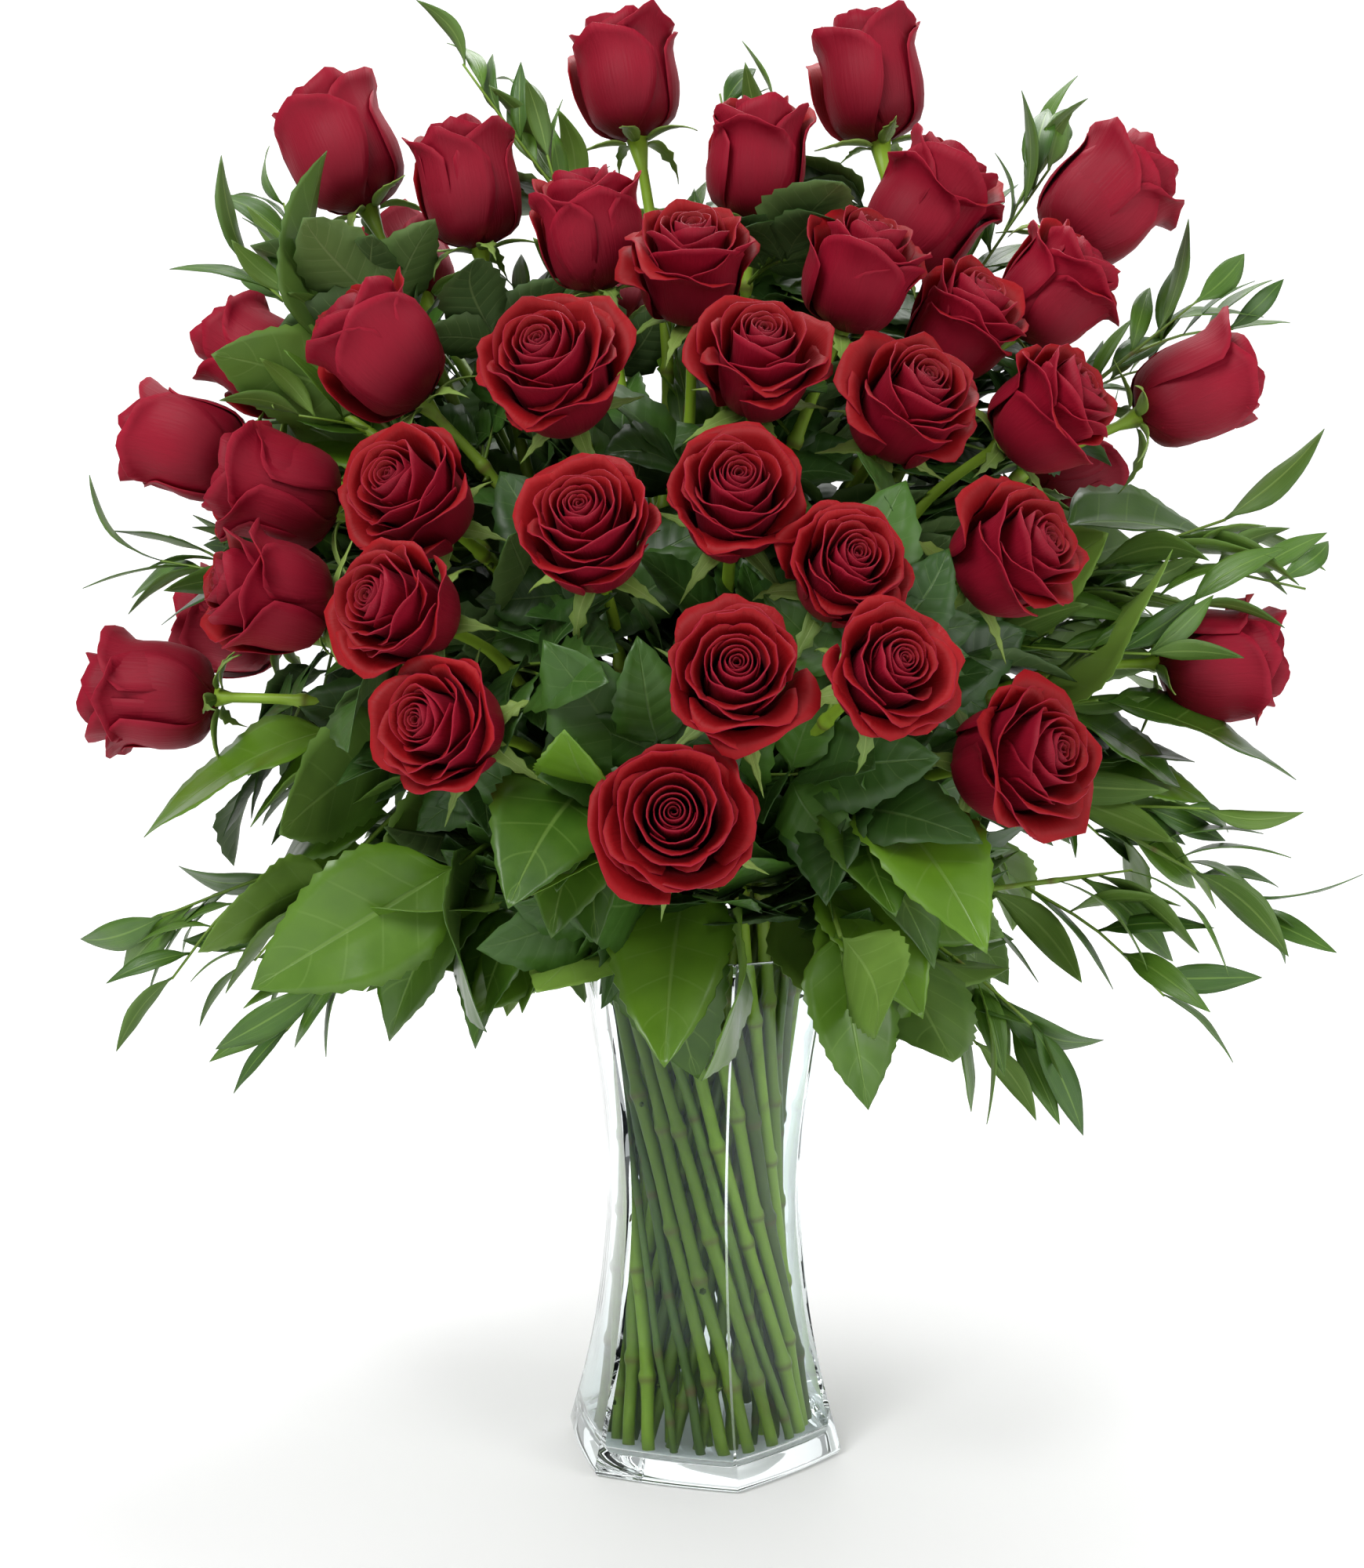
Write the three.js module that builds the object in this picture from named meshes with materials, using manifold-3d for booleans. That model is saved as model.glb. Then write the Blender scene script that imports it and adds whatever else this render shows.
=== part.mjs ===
// A clear glass hexagonal vase holding forty-four long-stemmed red roses, eight branches of
// lemon leaf and seven sprigs of ruscus. Millimetres, +Z up. The origin is the middle of the
// vase's foot, on the surface it stands on, and the arrangement's front faces -Y.
import * as THREE from 'three';
import { mergeVertices } from 'three/addons/utils/BufferGeometryUtils.js';
import Module from 'manifold-3d';

const wasm = await Module();
wasm.setup();

// ---- Driving dimensions, mm and degrees ----

const vase = {
  height: 255,
  footRadius: 73.5, // to a corner of the hexagon
  waistRadius: 52.5,
  waistHeight: 130,
  rimRadius: 69,
  wall: 4.2,
  floor: 8,
  footEdge: 4, // the rounding under the foot
  flatness: 0.8, // 0 is round, 1 is a sharp hexagon
  turn: 13, // degrees from the front to the nearest corner
  sides: 24,
};

const roseStemRadius = 3.3;
const lemonStemRadius = 2.6;
const ruscusStemRadius = 1.9;
const shootRadiusRatio = 0.8; // a side shoot against the stem it grows from
const stemSides = 5;
const bloomSides = 7;
const stemGap = 0.9; // kept between neighbours as the stems settle
const leafGap = 1.6;
const leafThickness = 0.8;
const columnRadius = 15; // left free of stems down the middle of the vase

// Heights of a stem's points inside the vase, from its cut end to just over the rim.
const levels = [vase.floor + 2.2, 68, 128, 192, vase.height + 9];
const openSteps = 5; // stem pieces from the rim to the head

// Stems stand in three rings that twist through the waist, each ring against the next.
const rings = [
  { count: 26, waist: 38, end: 52.5, twist: 1 },
  { count: 20, waist: 30, end: 44, twist: -1 },
  { count: 13, waist: 22, end: 35.5, twist: 1 },
];

// Each rose: middle of the head x, y, z; the way it looks, as degrees right of the front and
// degrees above level; head width; how open it is, from 0 (bud) to 1.
const roses = [
  [-40, 20, 718, -60, 78, 62, 0.2],
  [91, 20, 718, -60, 80, 64, 0.15],
  [-190, 10, 677, -80, 66, 64, 0.15],
  [-120, -20, 648, -40, 74, 61, 0.2],
  [27, -20, 661, 10, 72, 57, 0.15],
  [112, -30, 633, 60, 52, 68, 0.35],
  [209, 0, 647, 80, 45, 68, 0.3],
  [-56, -50, 615, -30, 68, 58, 0.3],
  [-6, -90, 585, 0, 46, 61, 0.8],
  [73, -90, 582, 30, 52, 58, 0.5],
  [175, -40, 589, 65, 42, 60, 0.5],
  [123, -70, 563, 40, 40, 60, 0.6],
  [-232, 0, 564, -100, 34, 56, 0.15],
  [-158, -60, 552, -65, 44, 64, 0.35],
  [-68, -130, 526, -15, 26, 71, 0.95],
  [24, -130, 530, 5, 34, 60, 0.85],
  [91, -125, 512, 22, 28, 62, 0.8],
  [164, -80, 520, 50, 26, 62, 0.7],
  [256, 0, 547, 88, 24, 61, 0.2],
  [-267, 0, 521, -95, 16, 60, 0.2],
  [-212, -40, 488, -75, 16, 63, 0.3],
  [-131, -120, 472, -28, 20, 66, 0.9],
  [-50, -175, 448, -8, 26, 62, 0.85],
  [16, -160, 462, 2, 24, 61, 0.85],
  [56, -172, 430, 14, 18, 56, 0.85],
  [137, -130, 443, 42, 18, 62, 0.8],
  [-205, -85, 432, -62, 10, 60, 0.4],
  [-132, -160, 417, -34, 12, 58, 0.85],
  [11, -205, 385, 0, 14, 60, 0.9],
  [71, -200, 392, 18, 14, 56, 0.9],
  [-280, -20, 388, -92, 2, 66, 0.3],
  [-111, -170, 368, -30, 6, 58, 0.85],
  [139, -135, 354, 38, 8, 66, 0.7],
  [270, 0, 407, 86, 2, 66, 0.35],
  [-13, -200, 328, -2, 10, 68, 0.95],
  [-170, 95, 640, -140, 48, 60, 0.3],
  [-50, 130, 625, -165, 50, 60, 0.5],
  [-265, 80, 430, -110, 8, 62, 0.4],
  [90, 120, 620, 150, 50, 60, 0.4],
  [210, 100, 520, 118, 26, 62, 0.5],
  [-110, 185, 500, -150, 24, 62, 0.7],
  [60, 200, 480, 165, 24, 62, 0.8],
  [-165, 165, 385, -135, 8, 60, 0.6],
  [150, 175, 390, 140, 8, 60, 0.7],
];

// Each lemon-leaf branch: where its stem ends, where its side shoot ends, and the length of
// its largest leaves.
const lemonBranches = [
  [[-150, 40, 590], [-190, -20, 560], 105],
  [[15, 40, 620], [72, 60, 600], 100],
  [[190, 20, 480], [200, -30, 385], 112],
  [[-180, -50, 370], [-115, -95, 305], 112],
  [[70, -115, 335], [85, -80, 275], 105],
  [[-45, -130, 345], [10, -100, 285], 100],
  [[-25, 170, 390], [-115, 110, 305], 108],
  [[140, 100, 325], [50, 130, 300], 105],
];

// Each ruscus sprig: where its stem ends, where its side shoot ends, and its leaf length.
const ruscusSprigs = [
  [[-240, 15, 615], [-285, 5, 460], 62],
  [[-275, -25, 275], [-185, -60, 245], 66],
  [[-80, 10, 690], [40, 15, 690], 58],
  [[185, 15, 670], [262, 10, 598], 60],
  [[272, -5, 480], [275, -15, 285], 68],
  [[160, -60, 225], [212, -50, 300], 70],
  [[60, 200, 540], [-165, 195, 330], 64],
];

const petalRed = '#a8131f';
const lemonGreen = '#3f6a24';
const ruscusGreen = '#4c7a2c';
const glassTint = '#d9e8e8';

// ---- Small helpers ----

const radians = THREE.MathUtils.degToRad;
const lerp = THREE.MathUtils.lerp;
const vec = (x, y, z) => new THREE.Vector3(x, y, z);

/** A unit vector from degrees right of the front and degrees above level. */
function heading(turn, rise) {
  const level = Math.cos(radians(rise));
  return vec(Math.sin(radians(turn)) * level, -Math.cos(radians(turn)) * level, Math.sin(radians(rise)));
}

/** Degrees right of the front of a point, seen from the vase's axis. */
const turnOf = (point) => THREE.MathUtils.radToDeg(Math.atan2(point.x, -point.y));

/** A repeatable random source between -1 and 1. */
function makeWobble(seed) {
  let state = seed;
  return () => {
    state = (state * 1664525 + 1013904223) % 4294967296;
    return (state / 4294967296) * 2 - 1;
  };
}

/** A closed geometry as a manifold solid, turned the right way out. */
function solidOf(geometry) {
  const bare = geometry.clone();
  bare.deleteAttribute('normal');
  bare.deleteAttribute('uv');
  const merged = mergeVertices(bare, 1e-4);
  const build = (triVerts) => new wasm.Manifold(new wasm.Mesh({
    numProp: 3,
    vertProperties: new Float32Array(merged.attributes.position.array),
    triVerts,
  }));
  const index = new Uint32Array(merged.index.array);
  const solid = build(index);
  return solid.volume() > 0 ? solid : build(index.reverse());
}

function geometryOf(solid) {
  const mesh = solid.getMesh();
  const geometry = new THREE.BufferGeometry();
  geometry.setAttribute('position', new THREE.BufferAttribute(new Float32Array(mesh.vertProperties), 3));
  geometry.setIndex(new THREE.BufferAttribute(new Uint32Array(mesh.triVerts), 1));
  geometry.computeVertexNormals();
  return geometry;
}

function namedMesh(name, geometry, color, roughness, metalness = 0) {
  const material = new THREE.MeshStandardMaterial({ color, roughness, metalness });
  const mesh = new THREE.Mesh(geometry, material);
  mesh.name = name;
  return mesh;
}

// ---- Vase ----

// Outer corner radius against height: a wide foot, a waist and a flared rim.
const vaseSide = new THREE.CatmullRomCurve3([
  vec(vase.footRadius, 0, vase.footEdge),
  vec(lerp(vase.waistRadius, vase.footRadius, 0.4), 0, vase.waistHeight * 0.4),
  vec(vase.waistRadius, 0, vase.waistHeight),
  vec(lerp(vase.waistRadius, vase.rimRadius, 0.42), 0, lerp(vase.waistHeight, vase.height, 0.56)),
  vec(vase.rimRadius, 0, vase.height),
]);
const vaseOutline = vaseSide.getPoints(8);

/** Outer corner radius of the vase at a height. */
function vaseRadius(z) {
  const above = vaseOutline.findIndex((point) => point.z >= z);
  if (above <= 0) return above === 0 ? vase.footRadius : vase.rimRadius;
  const [low, high] = [vaseOutline[above - 1], vaseOutline[above]];
  return lerp(low.x, high.x, (z - low.z) / (high.z - low.z));
}

const vaseCorner = radians(vase.turn - 90);

/** The rounded hexagon: radius in a direction as a share of the corner radius. */
function hexagonShare(angle) {
  const sixth = Math.PI / 3;
  const fromCorner = THREE.MathUtils.euclideanModulo(angle - vaseCorner, sixth);
  const hexagon = Math.cos(sixth / 2) / Math.cos(fromCorner - sixth / 2);
  return lerp(1, hexagon, vase.flatness);
}

function makeVase() {
  const inner = vaseOutline.filter((point) => point.z > vase.floor + vase.wall).reverse();
  const profile = [
    new THREE.Vector2(0, 0),
    new THREE.Vector2(vase.footRadius - vase.footEdge, 0),
    ...vaseOutline.map((point) => new THREE.Vector2(point.x, point.z)),
    ...inner.map((point) => new THREE.Vector2(point.x - vase.wall, point.z)),
    new THREE.Vector2(vaseRadius(vase.floor) - vase.wall - vase.footEdge, vase.floor),
    new THREE.Vector2(0, vase.floor),
  ];
  const geometry = new THREE.LatheGeometry(profile, vase.sides);
  geometry.rotateX(Math.PI / 2);
  geometry.rotateZ(vaseCorner);
  const place = geometry.attributes.position;
  for (let i = 0; i < place.count; i += 1) {
    const share = hexagonShare(Math.atan2(place.getY(i), place.getX(i)));
    place.setXY(i, place.getX(i) * share, place.getY(i) * share);
  }
  return namedMesh('vase', geometryOf(solidOf(geometry)), glassTint, 0.05);
}

// ---- Stems: each is a chain of points, settled so that no two stems or heads touch ----

/** A stem from its cut end to its last point, with the bow that it has at each point. */
function makeChain(node, radius, points, target, extra = {}) {
  const bows = points.map((point, i) => {
    if (i === 0 || i === points.length - 1) return vec(0, 0, 0);
    return point.clone().sub(points[i - 1].clone().lerp(points[i + 1], 0.5));
  });
  return { node, radius, points, bows, target: target.clone(), heights: levels, ...extra };
}

const roseHeads = roses.map(([x, y, z, turn, rise, width, open]) => {
  const aim = heading(turn, rise);
  const height = width * lerp(1.02, 0.74, open);
  const middle = vec(x, y, z);
  const base = middle.clone().addScaledVector(aim, -height / 2);
  return { aim, height, open, base, radius: width / 2 * 0.94 };
});

const stemPlans = [
  ...roseHeads.map((head, i) => ({
    node: `rose_${String(i + 1).padStart(2, '0')}`, radius: roseStemRadius, end: head.base, head,
  })),
  ...lemonBranches.map(([end, side, leaf], i) => ({
    node: `lemon_leaf_${i + 1}`, radius: lemonStemRadius, end: vec(...end), side: vec(...side), leaf,
  })),
  ...ruscusSprigs.map(([end, side, leaf], i) => ({
    node: `ruscus_${i + 1}`, radius: ruscusStemRadius, end: vec(...end), side: vec(...side), leaf,
  })),
];

/** Gives each stem a ring and a place in it: low, wide heads outside and tall ones inside. */
function seatStems() {
  const lift = (plan) => (plan.end.z - vase.height) / Math.hypot(plan.end.x, plan.end.y);
  const byLift = [...stemPlans].sort((a, b) => lift(a) - lift(b));
  for (const ring of rings) {
    const seated = byLift.splice(0, ring.count).sort((a, b) => turnOf(a.end) - turnOf(b.end));
    const step = 360 / seated.length;
    const total = seated.reduce((sum, plan, i) => sum + turnOf(plan.end) - i * step, 0);
    const middle = total / seated.length;
    seated.forEach((plan, i) => {
      plan.ring = ring;
      plan.rimTurn = middle + i * step;
    });
  }
}

/** The straight run of a stem inside the vase, touching its ring's circle at the waist. */
function runInVase(plan, wobble) {
  const { waist, end, twist } = plan.ring;
  const half = THREE.MathUtils.radToDeg(Math.acos(waist / end));
  const rim = heading(plan.rimTurn, 0).multiplyScalar(end);
  const foot = heading(plan.rimTurn + twist * 2 * half, 0).multiplyScalar(end);
  const [bottom, top] = [levels[0], levels[levels.length - 1]];
  return levels.map((z) => {
    const share = (z - bottom) / (top - bottom);
    const point = foot.clone().lerp(rim, share);
    return vec(point.x + wobble() * 1.5, point.y + wobble() * 1.5, z);
  });
}

/** A smooth run between two points, leaving along one direction and arriving along another. */
function bend(from, leave, to, arrive, steps) {
  const reach = from.distanceTo(to) * 0.38;
  const curve = new THREE.CubicBezierCurve3(
    from,
    from.clone().addScaledVector(leave, reach),
    to.clone().addScaledVector(arrive, -reach),
    to,
  );
  return curve.getPoints(steps).slice(1);
}

function growChains() {
  const wobble = makeWobble(7);
  return stemPlans.flatMap((plan) => {
    const low = runInVase(plan, wobble);
    const rim = low[low.length - 1];
    const leave = rim.clone().sub(low[low.length - 2]).normalize();
    const outward = plan.end.clone().sub(vec(0, 0, 330)).normalize();
    const arrive = plan.head ? plan.head.aim : outward.add(vec(0, 0, -0.25)).normalize();
    const points = [...low, ...bend(rim, leave, plan.end, arrive, openSteps)];
    const main = makeChain(plan.node, plan.radius, points, plan.end, { head: plan.head, plan });
    if (!plan.side) return [main];
    const fork = low.length + 1;
    const away = plan.side.clone().sub(points[fork]).normalize();
    const shoot = [points[fork], ...bend(points[fork], away, plan.side, away, openSteps - 1)];
    const radius = plan.radius * shootRadiusRatio;
    return [main, makeChain(plan.node, radius, shoot, plan.side, { parent: main, heights: [], plan })];
  });
}

/** The places along two segments where they come closest, as shares of each. */
function closestShares(a0, a1, b0, b1) {
  const u = a1.clone().sub(a0);
  const v = b1.clone().sub(b0);
  const w = a0.clone().sub(b0);
  const [uu, uv, vv, uw, vw] = [u.dot(u), u.dot(v), v.dot(v), u.dot(w), v.dot(w)];
  const clamp = (value) => Math.min(Math.max(value, 0), 1);
  const spread = uu * vv - uv * uv;
  let s = spread > 1e-6 ? clamp((uv * vw - vv * uw) / spread) : 0.5;
  const t = clamp((uv * s + vw) / vv);
  s = clamp((uv * t - uw) / uu);
  return [s, t];
}

/** Every stem piece and every head, as capsules that read their ends from the chains. */
function capsulesOf(chains) {
  return chains.flatMap((chain) => {
    const pieces = chain.points.slice(1).map((_, i) => ({
      node: chain.node,
      radius: chain.radius,
      ends: () => [chain.points[i], chain.points[i + 1]],
      push: (step, share) => {
        const scale = (1 - share) ** 2 + share ** 2;
        chain.points[i].addScaledVector(step, (1 - share) / scale);
        chain.points[i + 1].addScaledVector(step, share / scale);
      },
    }));
    if (!chain.head) return pieces;
    const { aim, height, radius, open } = chain.head;
    const tip = chain.points[chain.points.length - 1];
    const along = (distance) => tip.clone().addScaledVector(aim, distance);
    const neck = chain.points[chain.points.length - 2];
    const head = {
      node: chain.node,
      radius,
      ends: () => [
        along(Math.min(radius * 0.85, height * 0.45)),
        along(height - radius * lerp(0.75, 0.45, open)),
      ],
      push: (step) => {
        tip.add(step);
        neck.addScaledVector(step, 0.7);
      },
    };
    return [...pieces, head];
  });
}

function nearPairs(capsules, reach) {
  const boxes = capsules.map((capsule) => {
    const [from, to] = capsule.ends();
    return new THREE.Box3().setFromPoints([from, to]).expandByScalar(capsule.radius + reach);
  });
  const pairs = [];
  for (let i = 0; i < capsules.length; i += 1) {
    for (let j = i + 1; j < capsules.length; j += 1) {
      if (capsules[i].node !== capsules[j].node && boxes[i].intersectsBox(boxes[j])) {
        pairs.push([capsules[i], capsules[j]]);
      }
    }
  }
  return pairs;
}

/** Moves two capsules apart when they are closer than the gap. */
function separate(first, second) {
  const [a0, a1] = first.ends();
  const [b0, b1] = second.ends();
  const [s, t] = closestShares(a0, a1, b0, b1);
  const apart = a0.clone().lerp(a1, s).sub(b0.clone().lerp(b1, t));
  const distance = apart.length();
  const lack = first.radius + second.radius + stemGap - distance;
  if (lack <= 0) return;
  const step = apart.multiplyScalar((lack * 0.5) / Math.max(distance, 1e-3));
  first.push(step, s);
  second.push(step.negate(), t);
}

/** Keeps a stem's points at their heights inside the vase, off its wall and its middle. */
function keepInVase(chain) {
  chain.heights.forEach((z, i) => {
    const point = chain.points[i];
    point.z = z;
    const angle = Math.atan2(point.y, point.x);
    const wall = (vaseRadius(z) - vase.wall) * hexagonShare(angle) - chain.radius - 2;
    const distance = Math.hypot(point.x, point.y);
    const held = Math.min(Math.max(distance, columnRadius + chain.radius), wall);
    point.x *= held / distance;
    point.y *= held / distance;
  });
}

/** Keeps the open part of a stem over the rim and clear of the glass. */
function keepOverRim(chain) {
  const start = chain.parent ? 1 : levels.length;
  for (const point of chain.points.slice(start)) {
    const distance = Math.hypot(point.x, point.y);
    const low = vase.height + 12 - Math.max(distance - vase.rimRadius - 12, 0) * 1.5;
    point.z = Math.max(point.z, low);
  }
}

function smooth(chain, amount) {
  const { points, heights, bows } = chain;
  for (let i = 1; i < points.length - 1; i += 1) {
    const middle = points[i - 1].clone().lerp(points[i + 1], 0.5).add(bows[i]);
    if (i < heights.length - 1) middle.z = points[i].z;
    points[i].lerp(middle, amount);
  }
  const last = points[points.length - 1];
  last.lerp(chain.target, amount * 0.35);
  if (chain.head) {
    const neck = points[points.length - 2];
    const span = last.distanceTo(neck);
    neck.lerp(last.clone().addScaledVector(chain.head.aim, -span), amount);
  }
}

function settle(chains) {
  const rounds = 260;
  const firmRounds = 90; // the last rounds only push apart
  const capsules = capsulesOf(chains);
  let pairs = [];
  for (let round = 0; round < rounds; round += 1) {
    if (round % 12 === 0) pairs = nearPairs(capsules, 12);
    const amount = 0.3 * Math.max(0, 1 - round / (rounds - firmRounds));
    if (amount > 0) chains.forEach((chain) => smooth(chain, amount));
    for (const [first, second] of pairs) separate(first, second);
    chains.forEach(keepInVase);
    chains.forEach(keepOverRim);
  }
  return capsules;
}

// ---- Leaves ----

// How each kind of leaf grows. The outline is half of the leaf: share of its length, then
// share of its full width.
const lemonStyle = {
  spacing: 52,
  slimness: 0.62,
  droop: 0.25,
  outline: [[0, 0.012], [0.3, 0.46], [0.7, 0.4], [1, 0]],
};
const ruscusStyle = {
  spacing: 38,
  slimness: 0.28,
  droop: 0.45,
  outline: [[0, 0.03], [0.42, 0.5], [1, 0]],
};
const leafCentre = 380; // leaves look away from this height on the vase's axis
const lowestLeaf = 272;
const budReach = 8; // stem pieces this near to a leaf's base are the ones that it grows from

function halfWidthAt(outline, share, width) {
  const above = Math.max(outline.findIndex(([u]) => u >= share), 1);
  const [[lowU, low], [highU, high]] = [outline[above - 1], outline[above]];
  return lerp(low, high, (share - lowU) / (highU - lowU)) * width;
}

/** A flat leaf: its base, its length along one direction and the direction it faces. */
function makeLeaf(node, base, along, face, length, { slimness, outline }) {
  const width = length * slimness;
  const across = face.clone().cross(along).normalize();
  const at = (share, side) => base.clone()
    .addScaledVector(along, share * length)
    .addScaledVector(across, side * halfWidthAt(outline, share, width));
  const rows = [0.16, 0.3, 0.44, 0.58, 0.7, 0.85, 1];
  const shares = outline.map(([u]) => u).slice(1);
  const left = shares.map((u) => at(u, 1));
  const right = shares.slice(0, -1).reverse().map((u) => at(u, -1));
  const edge = [base, ...left, ...right];
  const edges = edge.map((point, i) => [point, edge[(i + 1) % edge.length]]);
  const samples = rows.flatMap((u) => [-1, -0.5, 0, 0.5, 1].map((side) => at(u, side)));
  const box = new THREE.Box3().setFromPoints([base, ...samples]).expandByScalar(leafGap);
  return { node, base, along, across, face, length, width, outline, edges, samples, box };
}

/** Whether a point lies over a leaf's outline grown by a margin, given in the leaf's plane. */
function overLeaf(leaf, point, margin) {
  const offset = point.clone().sub(leaf.base);
  const forward = offset.dot(leaf.along);
  if (forward < -margin || forward > leaf.length + margin) return false;
  const share = THREE.MathUtils.clamp(forward / leaf.length, 0, 1);
  return Math.abs(offset.dot(leaf.across)) < halfWidthAt(leaf.outline, share, leaf.width) + margin;
}

const heightOver = (leaf, point) => point.clone().sub(leaf.base).dot(leaf.face);

/** Whether a straight piece of some radius passes through or too near a leaf. */
function pieceHitsLeaf(leaf, from, to, radius) {
  const margin = radius + leafGap;
  const [low, high] = [heightOver(leaf, from), heightOver(leaf, to)];
  if (low * high < 0) {
    const crossing = from.clone().lerp(to, low / (low - high));
    if (overLeaf(leaf, crossing, margin * 1.3)) return true;
  }
  const checks = Math.ceil(from.distanceTo(to) / 6);
  const point = vec(0, 0, 0);
  for (let i = 0; i <= checks; i += 1) {
    point.lerpVectors(from, to, i / checks);
    if (Math.abs(heightOver(leaf, point)) < margin && overLeaf(leaf, point, margin)) return true;
  }
  return false;
}

function leafHitsLeaf(first, second) {
  if (!first.box.intersectsBox(second.box)) return false;
  return first.edges.some(([from, to]) => pieceHitsLeaf(second, from, to, 0))
    || second.edges.some(([from, to]) => pieceHitsLeaf(first, from, to, 0));
}

function leafHitsCapsule(leaf, capsule) {
  const [from, to] = capsule.ends();
  if (pieceHitsLeaf(leaf, from, to, Math.min(capsule.radius, 5))) return true;
  const line = new THREE.Line3(from, to);
  const nearest = vec(0, 0, 0);
  const reach = capsule.radius + leafGap;
  return leaf.samples.some((sample) => {
    line.closestPointToPoint(sample, true, nearest);
    return nearest.distanceTo(sample) < reach;
  });
}

/** Whether a leaf dips under the rim inside or against the vase. */
function leafHitsVase(leaf) {
  return leaf.samples.some((sample) => {
    const clear = vase.rimRadius + leafGap + Math.max(0, 40 - sample.z) * 0.2;
    return sample.z < vase.height + 3 && Math.hypot(sample.x, sample.y) < clear;
  });
}

/** The leaf that looks best among many tries and touches nothing, or nothing at all. */
function growLeaf(style, node, base, tangent, side, capsules, leaves) {
  const outward = base.clone().sub(vec(0, 0, leafCentre)).normalize();
  const reach = style.length * 1.2;
  const near = new THREE.Box3().setFromPoints([base]).expandByScalar(reach);
  const nearest = vec(0, 0, 0);
  const others = capsules.filter((capsule) => {
    const [from, to] = capsule.ends();
    const box = new THREE.Box3().setFromPoints([from, to]).expandByScalar(capsule.radius);
    if (!box.intersectsBox(near)) return false;
    new THREE.Line3(from, to).closestPointToPoint(base, true, nearest);
    return capsule.node !== node || nearest.distanceTo(base) > budReach;
  });
  const neighbours = leaves.filter((leaf) => leaf.box.intersectsBox(near));
  const cross = tangent.clone().cross(outward).normalize();
  const normal = cross.clone().cross(tangent).normalize();
  const tries = [];
  for (const spread of [38, 55, 75, 95]) {
    for (let turn = 0; turn < 360; turn += 30) {
      const sideways = cross.clone().multiplyScalar(Math.cos(radians(turn)))
        .addScaledVector(normal, Math.sin(radians(turn)));
      const along = tangent.clone().multiplyScalar(Math.cos(radians(spread)))
        .addScaledVector(sideways, Math.sin(radians(spread))).normalize();
      const flat = outward.clone().addScaledVector(along, -outward.dot(along)).normalize();
      for (const roll of [0, 28, -28, 60, -60]) {
        const face = flat.clone().applyAxisAngle(along, radians(roll));
        for (const scale of [1, 0.86, 0.72]) {
          const score = along.dot(outward) * 0.7 - along.z * style.droop - Math.abs(roll) * 0.006
            + scale * 2.2 + Math.cos(radians(turn)) * side * 0.5 - Math.abs(spread - 60) * 0.004;
          tries.push({ along, face, scale, score });
        }
      }
    }
  }
  tries.sort((a, b) => b.score - a.score);
  for (const { along, face, scale } of tries) {
    const leaf = makeLeaf(node, base, along, face, style.length * scale, style);
    const clear = !leafHitsVase(leaf)
      && !others.some((capsule) => leafHitsCapsule(leaf, capsule))
      && !neighbours.some((other) => leafHitsLeaf(leaf, other));
    if (clear) return leaf;
  }
  return null;
}

/** Leaves down one chain from its tip, each to the other side of the last. */
function growLeaves(chain, capsules, leaves) {
  const isLemon = chain.node.startsWith('lemon');
  const style = { ...(isLemon ? lemonStyle : ruscusStyle), length: chain.plan.leaf };
  const { points } = chain;
  let side = 1;
  let left = 0;
  for (let i = points.length - 1; i > 0; i -= 1) {
    const [from, to] = [points[i - 1], points[i]];
    const tangent = to.clone().sub(from).normalize();
    const span = to.distanceTo(from);
    if (i === points.length - 1) {
      const tip = growLeaf({ ...style, droop: 0 }, chain.node, to.clone().addScaledVector(tangent, -3),
        tangent, 0, capsules, leaves);
      if (tip) leaves.push(tip);
      left = style.spacing * 0.7;
    }
    while (left < span - 6) {
      const base = to.clone().addScaledVector(tangent, -Math.max(left, 6));
      if (base.z > lowestLeaf || Math.hypot(base.x, base.y) > vase.rimRadius + 20) {
        const leaf = growLeaf(style, chain.node, base, tangent, side, capsules, leaves);
        if (leaf) leaves.push(leaf);
        side = -side;
      }
      left += style.spacing;
    }
    left = Math.max(left - span, 6);
  }
}

// ---- Solids ----

/** A path that runs straight from point to point, one extrusion step each. */
class PointPath extends THREE.Curve {
  constructor(points) {
    super();
    this.points = points;
  }

  getPoint(t, target = new THREE.Vector3()) {
    const place = THREE.MathUtils.clamp(t, 0, 1) * (this.points.length - 1);
    const index = Math.min(Math.floor(place), this.points.length - 2);
    return target.lerpVectors(this.points[index], this.points[index + 1], place - index);
  }

  getPointAt(u, target) {
    return this.getPoint(u, target);
  }

  getTangentAt(u, target) {
    return this.getTangent(u, target);
  }
}

function stemSolid(points, radius) {
  const corners = Array.from({ length: stemSides }, (_, i) => {
    const angle = (i / stemSides) * Math.PI * 2;
    return new THREE.Vector2(Math.cos(angle) * radius, Math.sin(angle) * radius);
  });
  return solidOf(new THREE.ExtrudeGeometry(new THREE.Shape(corners), {
    steps: points.length - 1,
    extrudePath: new PointPath(points),
    bevelEnabled: false,
  }));
}

/** The head of a rose: a cup that opens from its calyx to its crown. */
function bloomSolid(head, base) {
  const { radius, height, open, aim } = head;
  const crown = radius * lerp(0.58, 0.9, open);
  const profile = [
    new THREE.Vector2(0, -2),
    new THREE.Vector2(7, 1),
    new THREE.Vector2(radius * 0.84, height * 0.36),
    new THREE.Vector2(radius, height * 0.7),
    new THREE.Vector2(crown, height),
    new THREE.Vector2(0, height),
  ];
  const geometry = new THREE.LatheGeometry(profile, bloomSides);
  geometry.applyQuaternion(new THREE.Quaternion().setFromUnitVectors(vec(0, 1, 0), aim));
  geometry.translate(base.x, base.y, base.z);
  return solidOf(geometry);
}

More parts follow.
